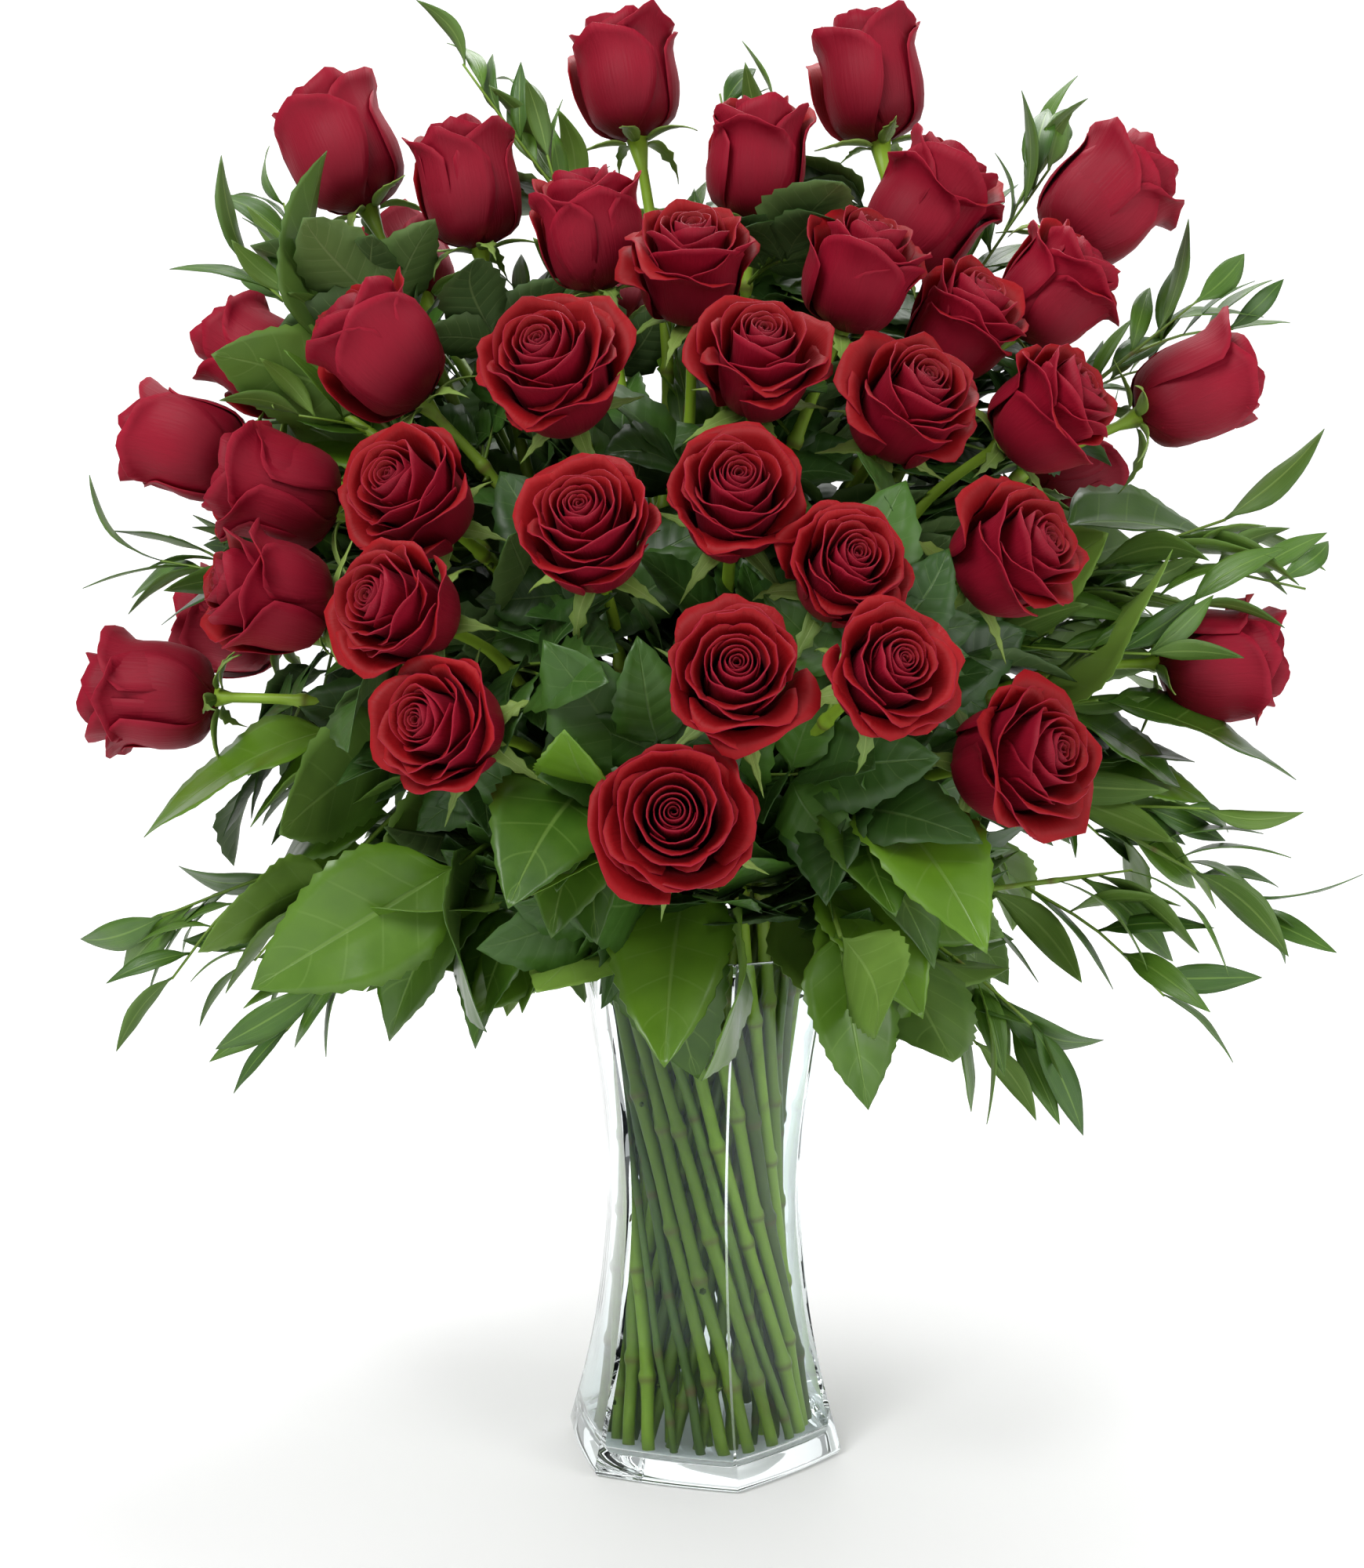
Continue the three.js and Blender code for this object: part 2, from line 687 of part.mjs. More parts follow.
function leafSolid(leaf) {
  const corner = (side) => ([u, half]) => new THREE.Vector2(u * leaf.length, side * half * leaf.width);
  const right = leaf.outline.map(corner(-1));
  const left = leaf.outline.slice(0, -1).reverse().map(corner(1));
  const geometry = new THREE.ExtrudeGeometry(new THREE.Shape([...right, ...left]), {
    depth: leafThickness,
    bevelEnabled: false,
  });
  geometry.translate(0, 0, -leafThickness / 2);
  const turn = new THREE.Matrix4().makeBasis(leaf.along, leaf.across, leaf.face);
  geometry.applyMatrix4(turn);
  geometry.translate(leaf.base.x, leaf.base.y, leaf.base.z);
  return solidOf(geometry);
}

function makeRose(chain) {
  const { points, head } = chain;
  const base = points[points.length - 1];
  const stemEnd = base.clone().addScaledVector(head.aim, 1);
  const stem = stemSolid([...points.slice(0, -1), stemEnd], chain.radius);
  return namedMesh(chain.node, geometryOf(stem.add(bloomSolid(head, base))), petalRed, 0.6);
}

function makeBranch(chain, shoot, leaves, color) {
  let solid = stemSolid(chain.points, chain.radius).add(stemSolid(shoot.points, shoot.radius));
  for (const leaf of leaves) solid = solid.add(leafSolid(leaf));
  return namedMesh(chain.node, geometryOf(solid), color, 0.4);
}

// ---- Assembly ----

seatStems();
const chains = growChains();
const capsules = settle(chains);
const leaves = [];
const leafy = chains.filter((chain) => !chain.head);
for (const chain of leafy) growLeaves(chain, capsules, leaves);

const arrangement = new THREE.Group();
arrangement.name = 'roses_in_vase';
arrangement.add(makeVase());
for (const chain of chains.filter((item) => item.head)) arrangement.add(makeRose(chain));
for (const shoot of leafy.filter((item) => item.parent)) {
  const own = leaves.filter((leaf) => leaf.node === shoot.node);
  const color = shoot.node.startsWith('lemon') ? lemonGreen : ruscusGreen;
  arrangement.add(makeBranch(shoot.parent, shoot, own, color));
}

export default arrangement;
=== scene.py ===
import math
import random

import bpy
import numpy as np
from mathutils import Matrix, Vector


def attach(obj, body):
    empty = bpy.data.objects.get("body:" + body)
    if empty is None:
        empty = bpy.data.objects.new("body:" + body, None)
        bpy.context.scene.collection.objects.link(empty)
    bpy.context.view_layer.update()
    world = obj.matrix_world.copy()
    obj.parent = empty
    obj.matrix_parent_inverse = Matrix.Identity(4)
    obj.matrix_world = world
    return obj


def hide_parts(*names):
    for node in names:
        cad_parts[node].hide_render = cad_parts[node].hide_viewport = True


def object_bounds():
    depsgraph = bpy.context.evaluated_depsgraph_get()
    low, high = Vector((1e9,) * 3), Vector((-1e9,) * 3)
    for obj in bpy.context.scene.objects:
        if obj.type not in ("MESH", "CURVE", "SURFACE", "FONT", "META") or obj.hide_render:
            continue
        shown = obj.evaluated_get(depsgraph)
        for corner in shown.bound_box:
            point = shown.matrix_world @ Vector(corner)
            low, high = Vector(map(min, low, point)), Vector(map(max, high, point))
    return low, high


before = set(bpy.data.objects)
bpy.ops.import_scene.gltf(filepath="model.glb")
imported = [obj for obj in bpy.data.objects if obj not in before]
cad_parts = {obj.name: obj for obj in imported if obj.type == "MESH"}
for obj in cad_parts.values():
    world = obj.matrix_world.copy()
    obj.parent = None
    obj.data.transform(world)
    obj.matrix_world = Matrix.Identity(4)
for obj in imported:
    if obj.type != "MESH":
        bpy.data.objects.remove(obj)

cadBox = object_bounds()  # the frame's bounds, which the leaves and twigs below are kept inside
print("frame loaded,", len(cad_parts), "nodes")


def clearSelection():
    if bpy.context.object and bpy.context.object.mode != "OBJECT":
        bpy.ops.object.mode_set(mode="OBJECT")
    bpy.ops.object.select_all(action="DESELECT")


def pick(*things):
    clearSelection()
    for thing in things:
        thing.select_set(True)
    bpy.context.view_layer.objects.active = things[0]
    return things[0]


def selectEdges(thing, wanted):
    # selects the edges whose two ends pass the test, and leaves the piece in edit mode
    bpy.ops.object.mode_set(mode="EDIT")
    bpy.ops.mesh.select_mode(type="EDGE")
    bpy.ops.mesh.select_all(action="DESELECT")
    bpy.ops.object.mode_set(mode="OBJECT")
    for edge in thing.data.edges:
        edge.select = wanted(*(thing.data.vertices[i].co for i in edge.vertices))
    bpy.ops.object.mode_set(mode="EDIT")


def applyAll(thing):
    pick(thing)
    for modifier in list(thing.modifiers):
        bpy.ops.object.modifier_apply(modifier=modifier.name)


def joinInto(name, things):
    whole = pick(*things)
    if len(things) > 1:
        bpy.ops.object.join()
    whole.name = name
    whole.data.name = name
    return whole


def smoothStep(low, high, value):
    t = np.clip((value - low) / (high - low), 0, 1)
    return t * t * (3 - 2 * t)


def blend(a, b, share):
    return a + (b - a) * share


def unit(vector):
    vector = np.asarray(vector, float)
    return vector / max(np.linalg.norm(vector), 1e-9)


def curveThrough(knots, places, share):
    # a smooth run through values given at rising places, read at many shares
    knots, places = np.asarray(knots, float), np.asarray(places, float)
    slope = np.gradient(knots, places)
    i = np.clip(np.searchsorted(places, share, side="right") - 1, 0, len(places) - 2)
    span = places[i + 1] - places[i]
    t = (share - places[i]) / span
    return (
        knots[i] * (2 * t**3 - 3 * t**2 + 1)
        + slope[i] * span * (t**3 - 2 * t**2 + t)
        + knots[i + 1] * (3 * t**2 - 2 * t**3)
        + slope[i + 1] * span * (t**3 - t**2)
    )


class Wire:  # one output socket, usable in sums
    def __init__(self, paint, socket):
        self.paint, self.socket = paint, socket

    def maths(self, operation, first, second):
        return self.paint.make("ShaderNodeMath", {"operation": operation}, {0: first, 1: second})

    def __add__(self, other):
        return self.maths("ADD", self, other)

    def __radd__(self, other):
        return self.maths("ADD", other, self)

    def __sub__(self, other):
        return self.maths("SUBTRACT", self, other)

    def __rsub__(self, other):
        return self.maths("SUBTRACT", other, self)

    def __mul__(self, other):
        return self.maths("MULTIPLY", self, other)

    def __rmul__(self, other):
        return self.maths("MULTIPLY", other, self)

    def size(self):
        return self.maths("ABSOLUTE", self, 0.0)

    def wave(self):
        return self.maths("SINE", self, 0.0)

    def ramp(self, low, high):  # 0 below low, 1 above high, smooth between
        settings = {"interpolation_type": "SMOOTHSTEP"}
        inputs = {"Value": self, "From Min": low, "From Max": high}
        return self.paint.make("ShaderNodeMapRange", settings, inputs)


class Paint:  # one material, with a Principled shader at its end
    def __init__(self, name, **constants):
        self.material = bpy.data.materials.new(name)
        self.material.use_nodes = True
        self.nodes = self.material.node_tree.nodes
        self.links = self.material.node_tree.links
        self.shader = self.nodes["Principled BSDF"]
        for socket, value in constants.items():
            self.shader.inputs[socket.replace("_", " ")].default_value = value

    def make(self, kind, settings=None, inputs=None, output=0):
        node = self.nodes.new(kind)
        for key, value in (settings or {}).items():
            setattr(node, key, value)
        for socket, value in (inputs or {}).items():
            self.feed(node.inputs[socket], value)
        return Wire(self, node.outputs[output])

    def feed(self, socket, value):
        if isinstance(value, Wire):
            self.links.new(value.socket, socket)
        elif socket.type == "RGBA" and len(value) == 3:
            socket.default_value = (*value, 1)
        else:
            socket.default_value = value

    def mix(self, share, first, second):
        return self.make("ShaderNodeMix", {"data_type": "RGBA"}, {0: share, 6: first, 7: second}, output=2)

    def attribute(self, name, output="Fac"):
        return self.make("ShaderNodeAttribute", {"attribute_name": name}, output=output)

    def place(self):
        return self.make("ShaderNodeTexCoord", output="Object")

    def noise(self, scale, detail=2.0, where=None, output="Fac"):
        inputs = {"Vector": where or self.place(), "Scale": scale, "Detail": detail}
        return self.make("ShaderNodeTexNoise", inputs=inputs, output=output)

    def sheetPlace(self):  # across -1 to 1 and along 0 to 1, from the piece's own map
        uv = self.make("ShaderNodeUVMap", {"uv_map": "sheet"})
        split = self.make("ShaderNodeSeparateXYZ", inputs={0: uv})
        along = Wire(self, split.socket.node.outputs["Y"])
        return split * 2.0 - 1.0, along

    def finish(self, colour, roughness=None, bump=None, bumpDepth=0.0005, strength=1.0):
        self.feed(self.shader.inputs["Base Color"], colour)
        if roughness is not None:
            self.feed(self.shader.inputs["Roughness"], roughness)
        if bump is not None:
            inputs = {"Height": bump, "Distance": bumpDepth, "Strength": strength}
            self.feed(self.shader.inputs["Normal"], self.make("ShaderNodeBump", inputs=inputs))
        return self.material


studio = {
    "eyeHeight": 0.3425,
    "eyeDistance": 0.900,
    "eyeRight": -0.0106,
    "lens": 39.5,
    "skyLight": 0.42,
    "floorColour": (0.9, 0.9, 0.9),
    "floorGlow": 0.56,
    "bounces": 20,
    "floorDrop": 0.0004,
}


def addCamera():
    bpy.ops.object.camera_add(
        location=(studio["eyeRight"], -studio["eyeDistance"], studio["eyeHeight"]),
        rotation=(math.pi / 2, 0, 0),
    )
    camera = bpy.context.object
    camera.name = "camera"
    camera.data.lens = studio["lens"]
    camera.data.sensor_width = 36
    camera.data.clip_end = 20
    bpy.context.scene.camera = camera


def addAreaLight(name, place, target, size, power):
    bpy.ops.object.light_add(type="AREA", location=place)
    light = bpy.context.object
    light.name = name
    light.data.shape = "DISK"
    light.data.size = size
    light.data.energy = power
    light.rotation_euler = (Vector(target) - Vector(place)).to_track_quat("-Z", "Y").to_euler()


def addFloor():
    clearSelection()
    bpy.ops.mesh.primitive_plane_add(size=8, location=(0, 0, -studio["floorDrop"]))
    bpy.ops.object.transform_apply()
    floor = bpy.context.object
    floor.name = "floor"
    # the far edge rises into a backdrop, with a wide curve at its foot
    selectEdges(floor, lambda a, b: min(a.y, b.y) > 3)
    bpy.ops.mesh.extrude_region_move(TRANSFORM_OT_translate={"value": (0, 0, 5)})
    selectEdges(floor, lambda a, b: min(a.y, b.y) > 3 and max(a.z, b.z) < 1)
    bpy.ops.mesh.bevel(offset=2.0, segments=16)
    bpy.ops.object.mode_set(mode="OBJECT")
    bpy.ops.object.shade_smooth()
    paint = Paint("studioFloor", Roughness=0.6, Emission_Strength=studio["floorGlow"])
    cloudy = paint.noise(1.5)
    pale = studio["floorColour"]
    darker = tuple(part * 0.98 for part in pale)
    far = paint.make("ShaderNodeSeparateXYZ", inputs={0: paint.place()}, output="Y")
    glow = paint.mix(far.ramp(0.1, 2.2), (0.2, 0.2, 0.2), (1.0, 1.0, 1.0))
    paint.feed(paint.shader.inputs["Emission Color"], glow)
    floor.data.materials.append(paint.finish(paint.mix(cloudy, pale, darker)))


def addStudio():
    scene = bpy.context.scene
    scene.view_settings.view_transform = "Standard"
    scene.world = bpy.data.worlds.new("studioSky")
    scene.world.use_nodes = True
    sky = scene.world.node_tree.nodes["Background"]
    sky.inputs["Color"].default_value = (1, 1, 1, 1)
    sky.inputs["Strength"].default_value = studio["skyLight"]
    scene.cycles.max_bounces = studio["bounces"]  # light crosses many walls of glass
    scene.cycles.transmission_bounces = studio["bounces"]
    scene.cycles.glossy_bounces = studio["bounces"]
    addCamera()
    middle = (0, 0, 0.42)
    addAreaLight("keyLight", (-0.9, -1.5, 1.7), middle, 1.1, 34)
    addAreaLight("fillLight", (1.5, -1.2, 0.8), middle, 1.2, 12)
    addAreaLight("topLight", (0.2, 0.5, 2.1), middle, 1.2, 22)
    addFloor()
    print("studio ready")


addStudio()


# what the frame says about each stem, head and leaf
stemRadius = {"rose": 0.0033, "lemon": 0.0026, "ruscus": 0.0019}
leafSlimness = {"lemon": 0.62, "ruscus": 0.28}
shootRatio = 0.8  # a side shoot against the stem that carries it
mainRings, shootRings = 10, 4
cupRim = 0.94  # the cup's corners against the flower's width
budHeight, openHeight = 1.02, 0.74  # height over width of a closed and of an open flower
leafCentre = np.array([0, 0, 0.38])
leafBreadth = 0.0042  # area over length: every leaf has more, every side of a stem less


def readNode(name):
    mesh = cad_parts[name].data
    places = np.empty(len(mesh.vertices) * 3, np.float32)
    mesh.vertices.foreach_get("co", places)
    loops = np.empty(len(mesh.loops), np.int32)
    mesh.loops.foreach_get("vertex_index", loops)
    keys = np.round(places.reshape(-1, 3) * 1e6).astype(np.int64)
    corners, index = np.unique(keys, axis=0, return_inverse=True)
    return corners / 1e6, index.reshape(-1)[loops].reshape(-1, 3)


def ringCentres(corners, radius):
    # a stem's rings are regular pentagons: any three corners of one share its centre
    gaps = np.linalg.norm(corners[:, None] - corners[None], axis=2)
    slack = radius * 0.003
    side = np.abs(gaps - 2 * radius * math.sin(math.pi / 5)) < slack
    slant = np.abs(gaps - 2 * radius * math.sin(math.pi / 2.5)) < slack
    linked = side | slant
    found = []
    for i in range(len(corners)):
        near = [j for j in np.flatnonzero(linked[i]) if j > i]
        for n, j in enumerate(near):
            for k in near[n + 1:]:
                if not linked[j, k]:
                    continue
                a, b = corners[j] - corners[i], corners[k] - corners[i]
                normal = np.cross(a, b)
                across = np.cross(normal, a) * (b @ b) + np.cross(b, normal) * (a @ a)
                centre = corners[i] + across / (2 * normal @ normal)
                out = corners - centre
                fits = np.abs(np.linalg.norm(out, axis=1) - radius) < slack
                flat = np.abs(out @ unit(normal)) < slack
                found.append((-int((fits & flat).sum()), tuple(centre)))
    found.sort()
    centres = []
    for _, centre in found:
        if all(np.linalg.norm(np.subtract(centre, other)) > radius for other in centres):
            centres.append(np.array(centre))
    return centres


def chainFrom(start, centres):
    path, left = [start], list(centres)
    while left:
        nearest = min(range(len(left)), key=lambda i: np.linalg.norm(left[i] - path[-1]))
        path.append(left.pop(nearest))
    return np.array(path)


def readRose(name):
    corners, _ = readNode(name)
    centres = ringCentres(corners, stemRadius["rose"])
    centres.sort(key=lambda centre: centre[2])
    path = chainFrom(centres[0], centres[1:])
    gaps = np.linalg.norm(corners[:, None] - path[None], axis=2).min(axis=1)
    cup = corners[gaps > stemRadius["rose"] * 1.1]
    spread = cup.mean(axis=0) - path[-1]
    aim = unit(spread)
    rise = (cup - path[-1]) @ aim
    out = np.linalg.norm(cup - path[-1] - rise[:, None] * aim, axis=1)
    width, height = 2 * out.max() / cupRim, rise.max()
    isOpen = float(np.clip((budHeight - height / width) / (budHeight - openHeight), 0, 1))
    return {"path": path, "aim": aim, "neck": path[-1], "height": height, "width": width, "open": isOpen}


def flatPatches(corners, faces):
    # runs of faces in one plane, wider than any side of a stem: the two faces of each leaf
    a, b, c = (corners[faces[:, i]] for i in range(3))
    normals = np.cross(b - a, c - a)
    normals /= np.maximum(np.linalg.norm(normals, axis=1, keepdims=True), 1e-12)
    edgeFaces = {}
    for f, face in enumerate(faces):
        for i in range(3):
            edge = tuple(sorted((face[i], face[(i + 1) % 3])))
            edgeFaces.setdefault(edge, []).append(f)
    beside = {f: [] for f in range(len(faces))}
    for pair in edgeFaces.values():
        for f in pair:
            beside[f] += [g for g in pair if g != f and normals[f] @ normals[g] > 0.9999]
    patches, seen = [], set()
    for start in range(len(faces)):
        if start in seen:
            continue
        group, queue = [], [start]
        seen.add(start)
        while queue:
            f = queue.pop()
            group.append(f)
            fresh = [g for g in beside[f] if g not in seen]
            seen.update(fresh)
            queue += fresh
        ids = np.unique(faces[group])
        areas = np.linalg.norm(np.cross(b[group] - a[group], c[group] - a[group]), axis=1) / 2
        span = np.linalg.norm(np.ptp(corners[ids], axis=0))
        if areas.sum() / span > leafBreadth:
            patches.append((ids, unit((normals[group] * areas[:, None]).sum(axis=0))))
    return patches


def nearestOnPaths(point, paths):
    best = (1e9, None)
    for path in paths:
        for a, b in zip(path[:-1], path[1:]):
            t = np.clip((point - a) @ (b - a) / max((b - a) @ (b - a), 1e-12), 0, 1)
            spot = a + (b - a) * t
            gap = np.linalg.norm(point - spot)
            if gap < best[0]:
                best = (gap, spot)
    return best


def readBranch(name):
    kind = "lemon" if name.startswith("lemon") else "ruscus"
    corners, faces = readNode(name)
    radius = stemRadius[kind]
    centres = ringCentres(corners, radius)[:mainRings]
    centres.sort(key=lambda centre: centre[2])
    main = chainFrom(centres[0], centres[1:])
    sideRings = ringCentres(corners, radius * shootRatio)[:shootRings]
    fork = min(main, key=lambda spot: min(np.linalg.norm(spot - ring) for ring in sideRings))
    paths = [main, chainFrom(fork, sideRings)]
    leaves = []
    for ids, normal in flatPatches(corners, faces):
        if normal @ (corners[ids].mean(axis=0) - leafCentre) < 0:
            continue
        base = min((nearestOnPaths(corners[i], paths) for i in ids), key=lambda gap: gap[0])[1]
        tip = max((corners[i] for i in ids), key=lambda corner: np.linalg.norm(corner - base))
        length = np.linalg.norm(tip - base)
        along = (tip - base) / length
        leaves.append({"base": base, "along": along, "face": normal, "length": length})
    return {"kind": kind, "paths": paths, "leaves": leaves}


roseNames = sorted(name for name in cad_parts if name.startswith("rose_"))
branchNames = sorted(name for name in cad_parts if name.startswith(("lemon", "ruscus")))
roses = {name: readRose(name) for name in roseNames}
branches = {name: readBranch(name) for name in branchNames}
print("read", len(roses), "roses,", sum(len(b["leaves"]) for b in branches.values()), "leaves")


# shapes that repeat are modelled once here and copied for every flower and leaf

def startGrid(name, columns, rows, skins):
    clearSelection()
    bpy.ops.mesh.primitive_grid_add(x_subdivisions=columns, y_subdivisions=rows, size=1)
    grid = bpy.context.object
    grid.name = name
    grid.data.uv_layers[0].name = "sheet"
    for skin in skins:
        grid.data.materials.append(skin)
    return grid


def startTube(name, sides, rings, skins):
    clearSelection()
    bpy.ops.mesh.primitive_cylinder_add(vertices=sides, radius=1, depth=1)
    tube = bpy.context.object
    tube.name = name
    selectEdges(tube, lambda a, b: abs(a.z - b.z) > 0.5)
    bpy.ops.mesh.subdivide(number_cuts=rings - 2)
    bpy.ops.object.mode_set(mode="OBJECT")
    for skin in skins:
        tube.data.materials.append(skin)
    if len(skins) > 1:
        for face in tube.data.polygons:  # the cut end
            face.material_index = 1 if face.normal.z < -0.9 else 0
    tube.data.attributes.new("along", "FLOAT", "POINT")
    return tube


def placesOf(thing):
    places = np.empty(len(thing.data.vertices) * 3)
    thing.data.vertices.foreach_get("co", places)
    return places.reshape(-1, 3)


def copyShaped(model, places, **marks):
    # one copy with its own mesh; marks are numbers that its materials read
    piece = model.copy()
    piece.data = model.data.copy()
    bpy.context.collection.objects.link(piece)
    piece.data.vertices.foreach_set("co", np.ascontiguousarray(places, np.float32).ravel())
    for key, value in marks.items():
        mark = piece.data.attributes.get(key) or piece.data.attributes.new(key, "FLOAT", "POINT")
        values = np.broadcast_to(np.asarray(value, np.float32), len(places))
        mark.data.foreach_set("value", np.ascontiguousarray(values))
    piece.data.update()
    return piece


def shapeTube(model, path, radii, rims, **marks):
    # wraps the straight tube round a path with one ring for each of its points
    local = placesOf(model)
    levels = np.round((local[:, 2] + 0.5) * (len(path) - 1)).astype(int)
    angle = np.arctan2(local[:, 1], local[:, 0])
    tangents = np.gradient(path, axis=0)
    tangents /= np.linalg.norm(tangents, axis=1, keepdims=True)
    side = unit(np.cross(tangents[0], [0.3, 1.0, 0.2]))
    sides = []
    for tangent in tangents:
        side = unit(side - tangent * (side @ tangent))
        sides.append(side)
    sides = np.array(sides)
    others = np.cross(tangents, sides)
    out = np.cos(angle)[:, None] * sides[levels] + np.sin(angle)[:, None] * others[levels]
    places = path[levels] + out * np.asarray(radii)[levels][:, None]
    return copyShaped(model, places, along=levels / (len(path) - 1), node=rims[levels], **marks)


def cleanSheets(thing, thickness, offset=-1.0, frontSlot=1):
    # tips closed, then a real thickness
    pick(thing)
    bpy.ops.object.mode_set(mode="EDIT")
    bpy.ops.mesh.select_all(action="SELECT")
    bpy.ops.mesh.remove_doubles(threshold=0.00001)
    bpy.ops.object.mode_set(mode="OBJECT")
    wall = thing.modifiers.new("wall", "SOLIDIFY")
    wall.thickness = thickness
    wall.offset = offset
    wall.material_offset = frontSlot
    applyAll(thing)
    bpy.ops.object.shade_smooth()


def smoothPath(points, steps):
    # an even run of points along a smooth curve through a stem's rings
    points = np.asarray(points)
    lengths = np.concatenate([[0], np.cumsum(np.linalg.norm(np.diff(points, axis=0), axis=1))])
    shares = np.asarray(steps) * lengths[-1]
    return np.stack([curveThrough(points[:, i], lengths, shares) for i in range(3)], axis=1), lengths[-1]


# finishes

def petalSkin(name, deep, bright, glow, veins):
    velvet = {"Sheen_Weight": 0.09, "Sheen_Roughness": 0.4, "Sheen_Tint": (1, 0.1, 0.16, 1)}
    paint = Paint(name, Specular_IOR_Level=0.2, **velvet)
    across, along = paint.sheetPlace()
    tone = paint.attribute("tone")
    where = paint.make("ShaderNodeCombineXYZ", inputs={0: across * 9.0, 1: along * 1.1, 2: tone * 17.0})
    fibres = paint.noise(2.6, 3.0, where)
    blush = paint.noise(38.0, 3.0)
    # painted shade: each petal is darker towards its base, deep in the cup, and lighter up towards its lip
    share = along.ramp(0.05, 0.85) * 0.55 + blush * 0.35 + fibres * 0.16
    colour = paint.mix(share, deep, bright)
    # painted highlight: the lips and side edges of each petal are mixed towards a lighter red
    lip = along.ramp(0.93, 1.0) * 0.35 + across.size().ramp(0.9, 1.0) * 0.12
    colour = paint.mix(lip, colour, glow)
    # painted shade: a high tone, which the innermost petals carry, mixes the colour towards the darkest red
    colour = paint.mix(tone * 0.24, colour, deep)
    bump = fibres * veins + blush * 0.35
    return paint.finish(colour, 0.48 + blush * 0.2, bump, 0.0007, 0.55)


def leafSkin(name, deep, bright, rib, sideVeins, gloss, veinShare):
    paint = Paint(name, Specular_IOR_Level=0.42)
    across, along = paint.sheetPlace()
    tone = paint.attribute("tone")
    patches = paint.noise(45.0, 3.0)
    fine = paint.noise(420.0, 2.0)
    colour = paint.mix(patches * 0.5 + tone * 0.75, deep, bright)
    slope = (along - across.size() * 0.16) * (sideVeins * 2 * math.pi)
    ridge = slope.wave()
    vein = ridge.ramp(0.965, 1.0) * (1.0 - across.size().ramp(0.6, 0.95))
    midrib = 1.0 - across.size().ramp(0.012, 0.05)
    colour = paint.mix(vein * veinShare, colour, rib)
    colour = paint.mix(midrib * 0.6, colour, rib)
    bump = fine * 0.12 - ridge * 0.22 - midrib * 0.5
    return paint.finish(colour, gloss + patches * 0.22, bump, 0.0006, 0.6)


def bladeSkin(name, deep, bright, rib, gloss):  # a narrow leaf with veins that run along it
    paint = Paint(name, Specular_IOR_Level=0.45)
    across, along = paint.sheetPlace()
    tone = paint.attribute("tone")
    patches = paint.noise(60.0, 2.0)
    where = paint.make("ShaderNodeCombineXYZ", inputs={0: across * 7.0, 1: along * 0.8, 2: tone * 9.0})
    lines = paint.noise(2.4, 2.0, where)
    colour = paint.mix(patches * 0.4 + tone * 0.7, deep, bright)
    midrib = 1.0 - across.size().ramp(0.02, 0.1)
    colour = paint.mix(midrib * 0.6 + lines.ramp(0.5, 0.8) * 0.25, colour, rib)
    return paint.finish(colour, gloss + patches * 0.18, lines - midrib * 0.4, 0.0005, 0.5)


def stemSkin(name, deep, bright, blemish):
    paint = Paint(name, Specular_IOR_Level=0.4)
    along = paint.attribute("along")
    tone = paint.attribute("tone")
    mottle = paint.noise(90.0, 4.0)
    streaks = paint.noise(30.0, 2.0)
    node = paint.attribute("node")
    colour = paint.mix(streaks * 0.25 + tone * 0.9, deep, bright)
    colour = paint.mix(along.ramp(0.6, 1.0) * 0.35, colour, bright)
    marks = mottle.ramp(0.6, 0.76) * 0.45
    colour = paint.mix(marks, colour, blemish)
    colour = paint.mix(node * 0.65, colour, blemish)
    return paint.finish(colour, 0.32 + mottle * 0.3, mottle, 0.0007, 0.6)


def cutSkin():
    paint = Paint("cutEnd", Specular_IOR_Level=0.3)
    grain = paint.noise(900.0, 2.0)
    colour = paint.mix(grain, (0.62, 0.6, 0.33), (0.8, 0.8, 0.6))
    return paint.finish(colour, 0.6 + grain * 0.2, grain, 0.0003)


# each finish: its darkest and brightest colour, then the colour of its blemish or veins, or for petals the
# colour of the painted highlight on their lips; on petals the darkest colour also paints the shade at their
# base and in the middle of the flower
petalBack = petalSkin("petalBack", (0.1, 0.001, 0.007), (0.3, 0.0034, 0.021), (0.42, 0.008, 0.032), 0.9)
petalFront = petalSkin("petalFront", (0.07, 0.001, 0.002), (0.325, 0.0036, 0.007), (0.42, 0.008, 0.013), 0.7)
stemGreen = stemSkin("stemGreen", (0.035, 0.06, 0.006), (0.33, 0.54, 0.035), (0.15, 0.11, 0.03))
branchGreen = stemSkin("branchGreen", (0.05, 0.1, 0.01), (0.17, 0.29, 0.03), (0.14, 0.08, 0.03))
cutEnd = cutSkin()
sepalGreen = bladeSkin("sepalGreen", (0.06, 0.13, 0.018), (0.27, 0.4, 0.075), (0.32, 0.42, 0.12), 0.42)
roseLeafTop = leafSkin(
    "roseLeafTop", (0.012, 0.045, 0.006), (0.05, 0.13, 0.014), (0.09, 0.17, 0.04), 8, 0.34, 0.35)
roseLeafUnder = leafSkin(
    "roseLeafUnder", (0.05, 0.1, 0.03), (0.12, 0.2, 0.05), (0.2, 0.28, 0.1), 8, 0.5, 0.5)
lemonTop = leafSkin(
    "lemonTop", (0.013, 0.052, 0.006), (0.12, 0.25, 0.014), (0.15, 0.26, 0.05), 6, 0.24, 0.3)
lemonUnder = leafSkin(
    "lemonUnder", (0.055, 0.125, 0.022), (0.19, 0.33, 0.045), (0.21, 0.34, 0.08), 6, 0.4, 0.3)
ruscusTop = bladeSkin("ruscusTop", (0.02, 0.075, 0.008), (0.12, 0.25, 0.02), (0.17, 0.3, 0.05), 0.24)
ruscusUnder = bladeSkin("ruscusUnder", (0.06, 0.13, 0.02), (0.17, 0.3, 0.04), (0.22, 0.34, 0.08), 0.4)
print("finishes ready")

# rose heads

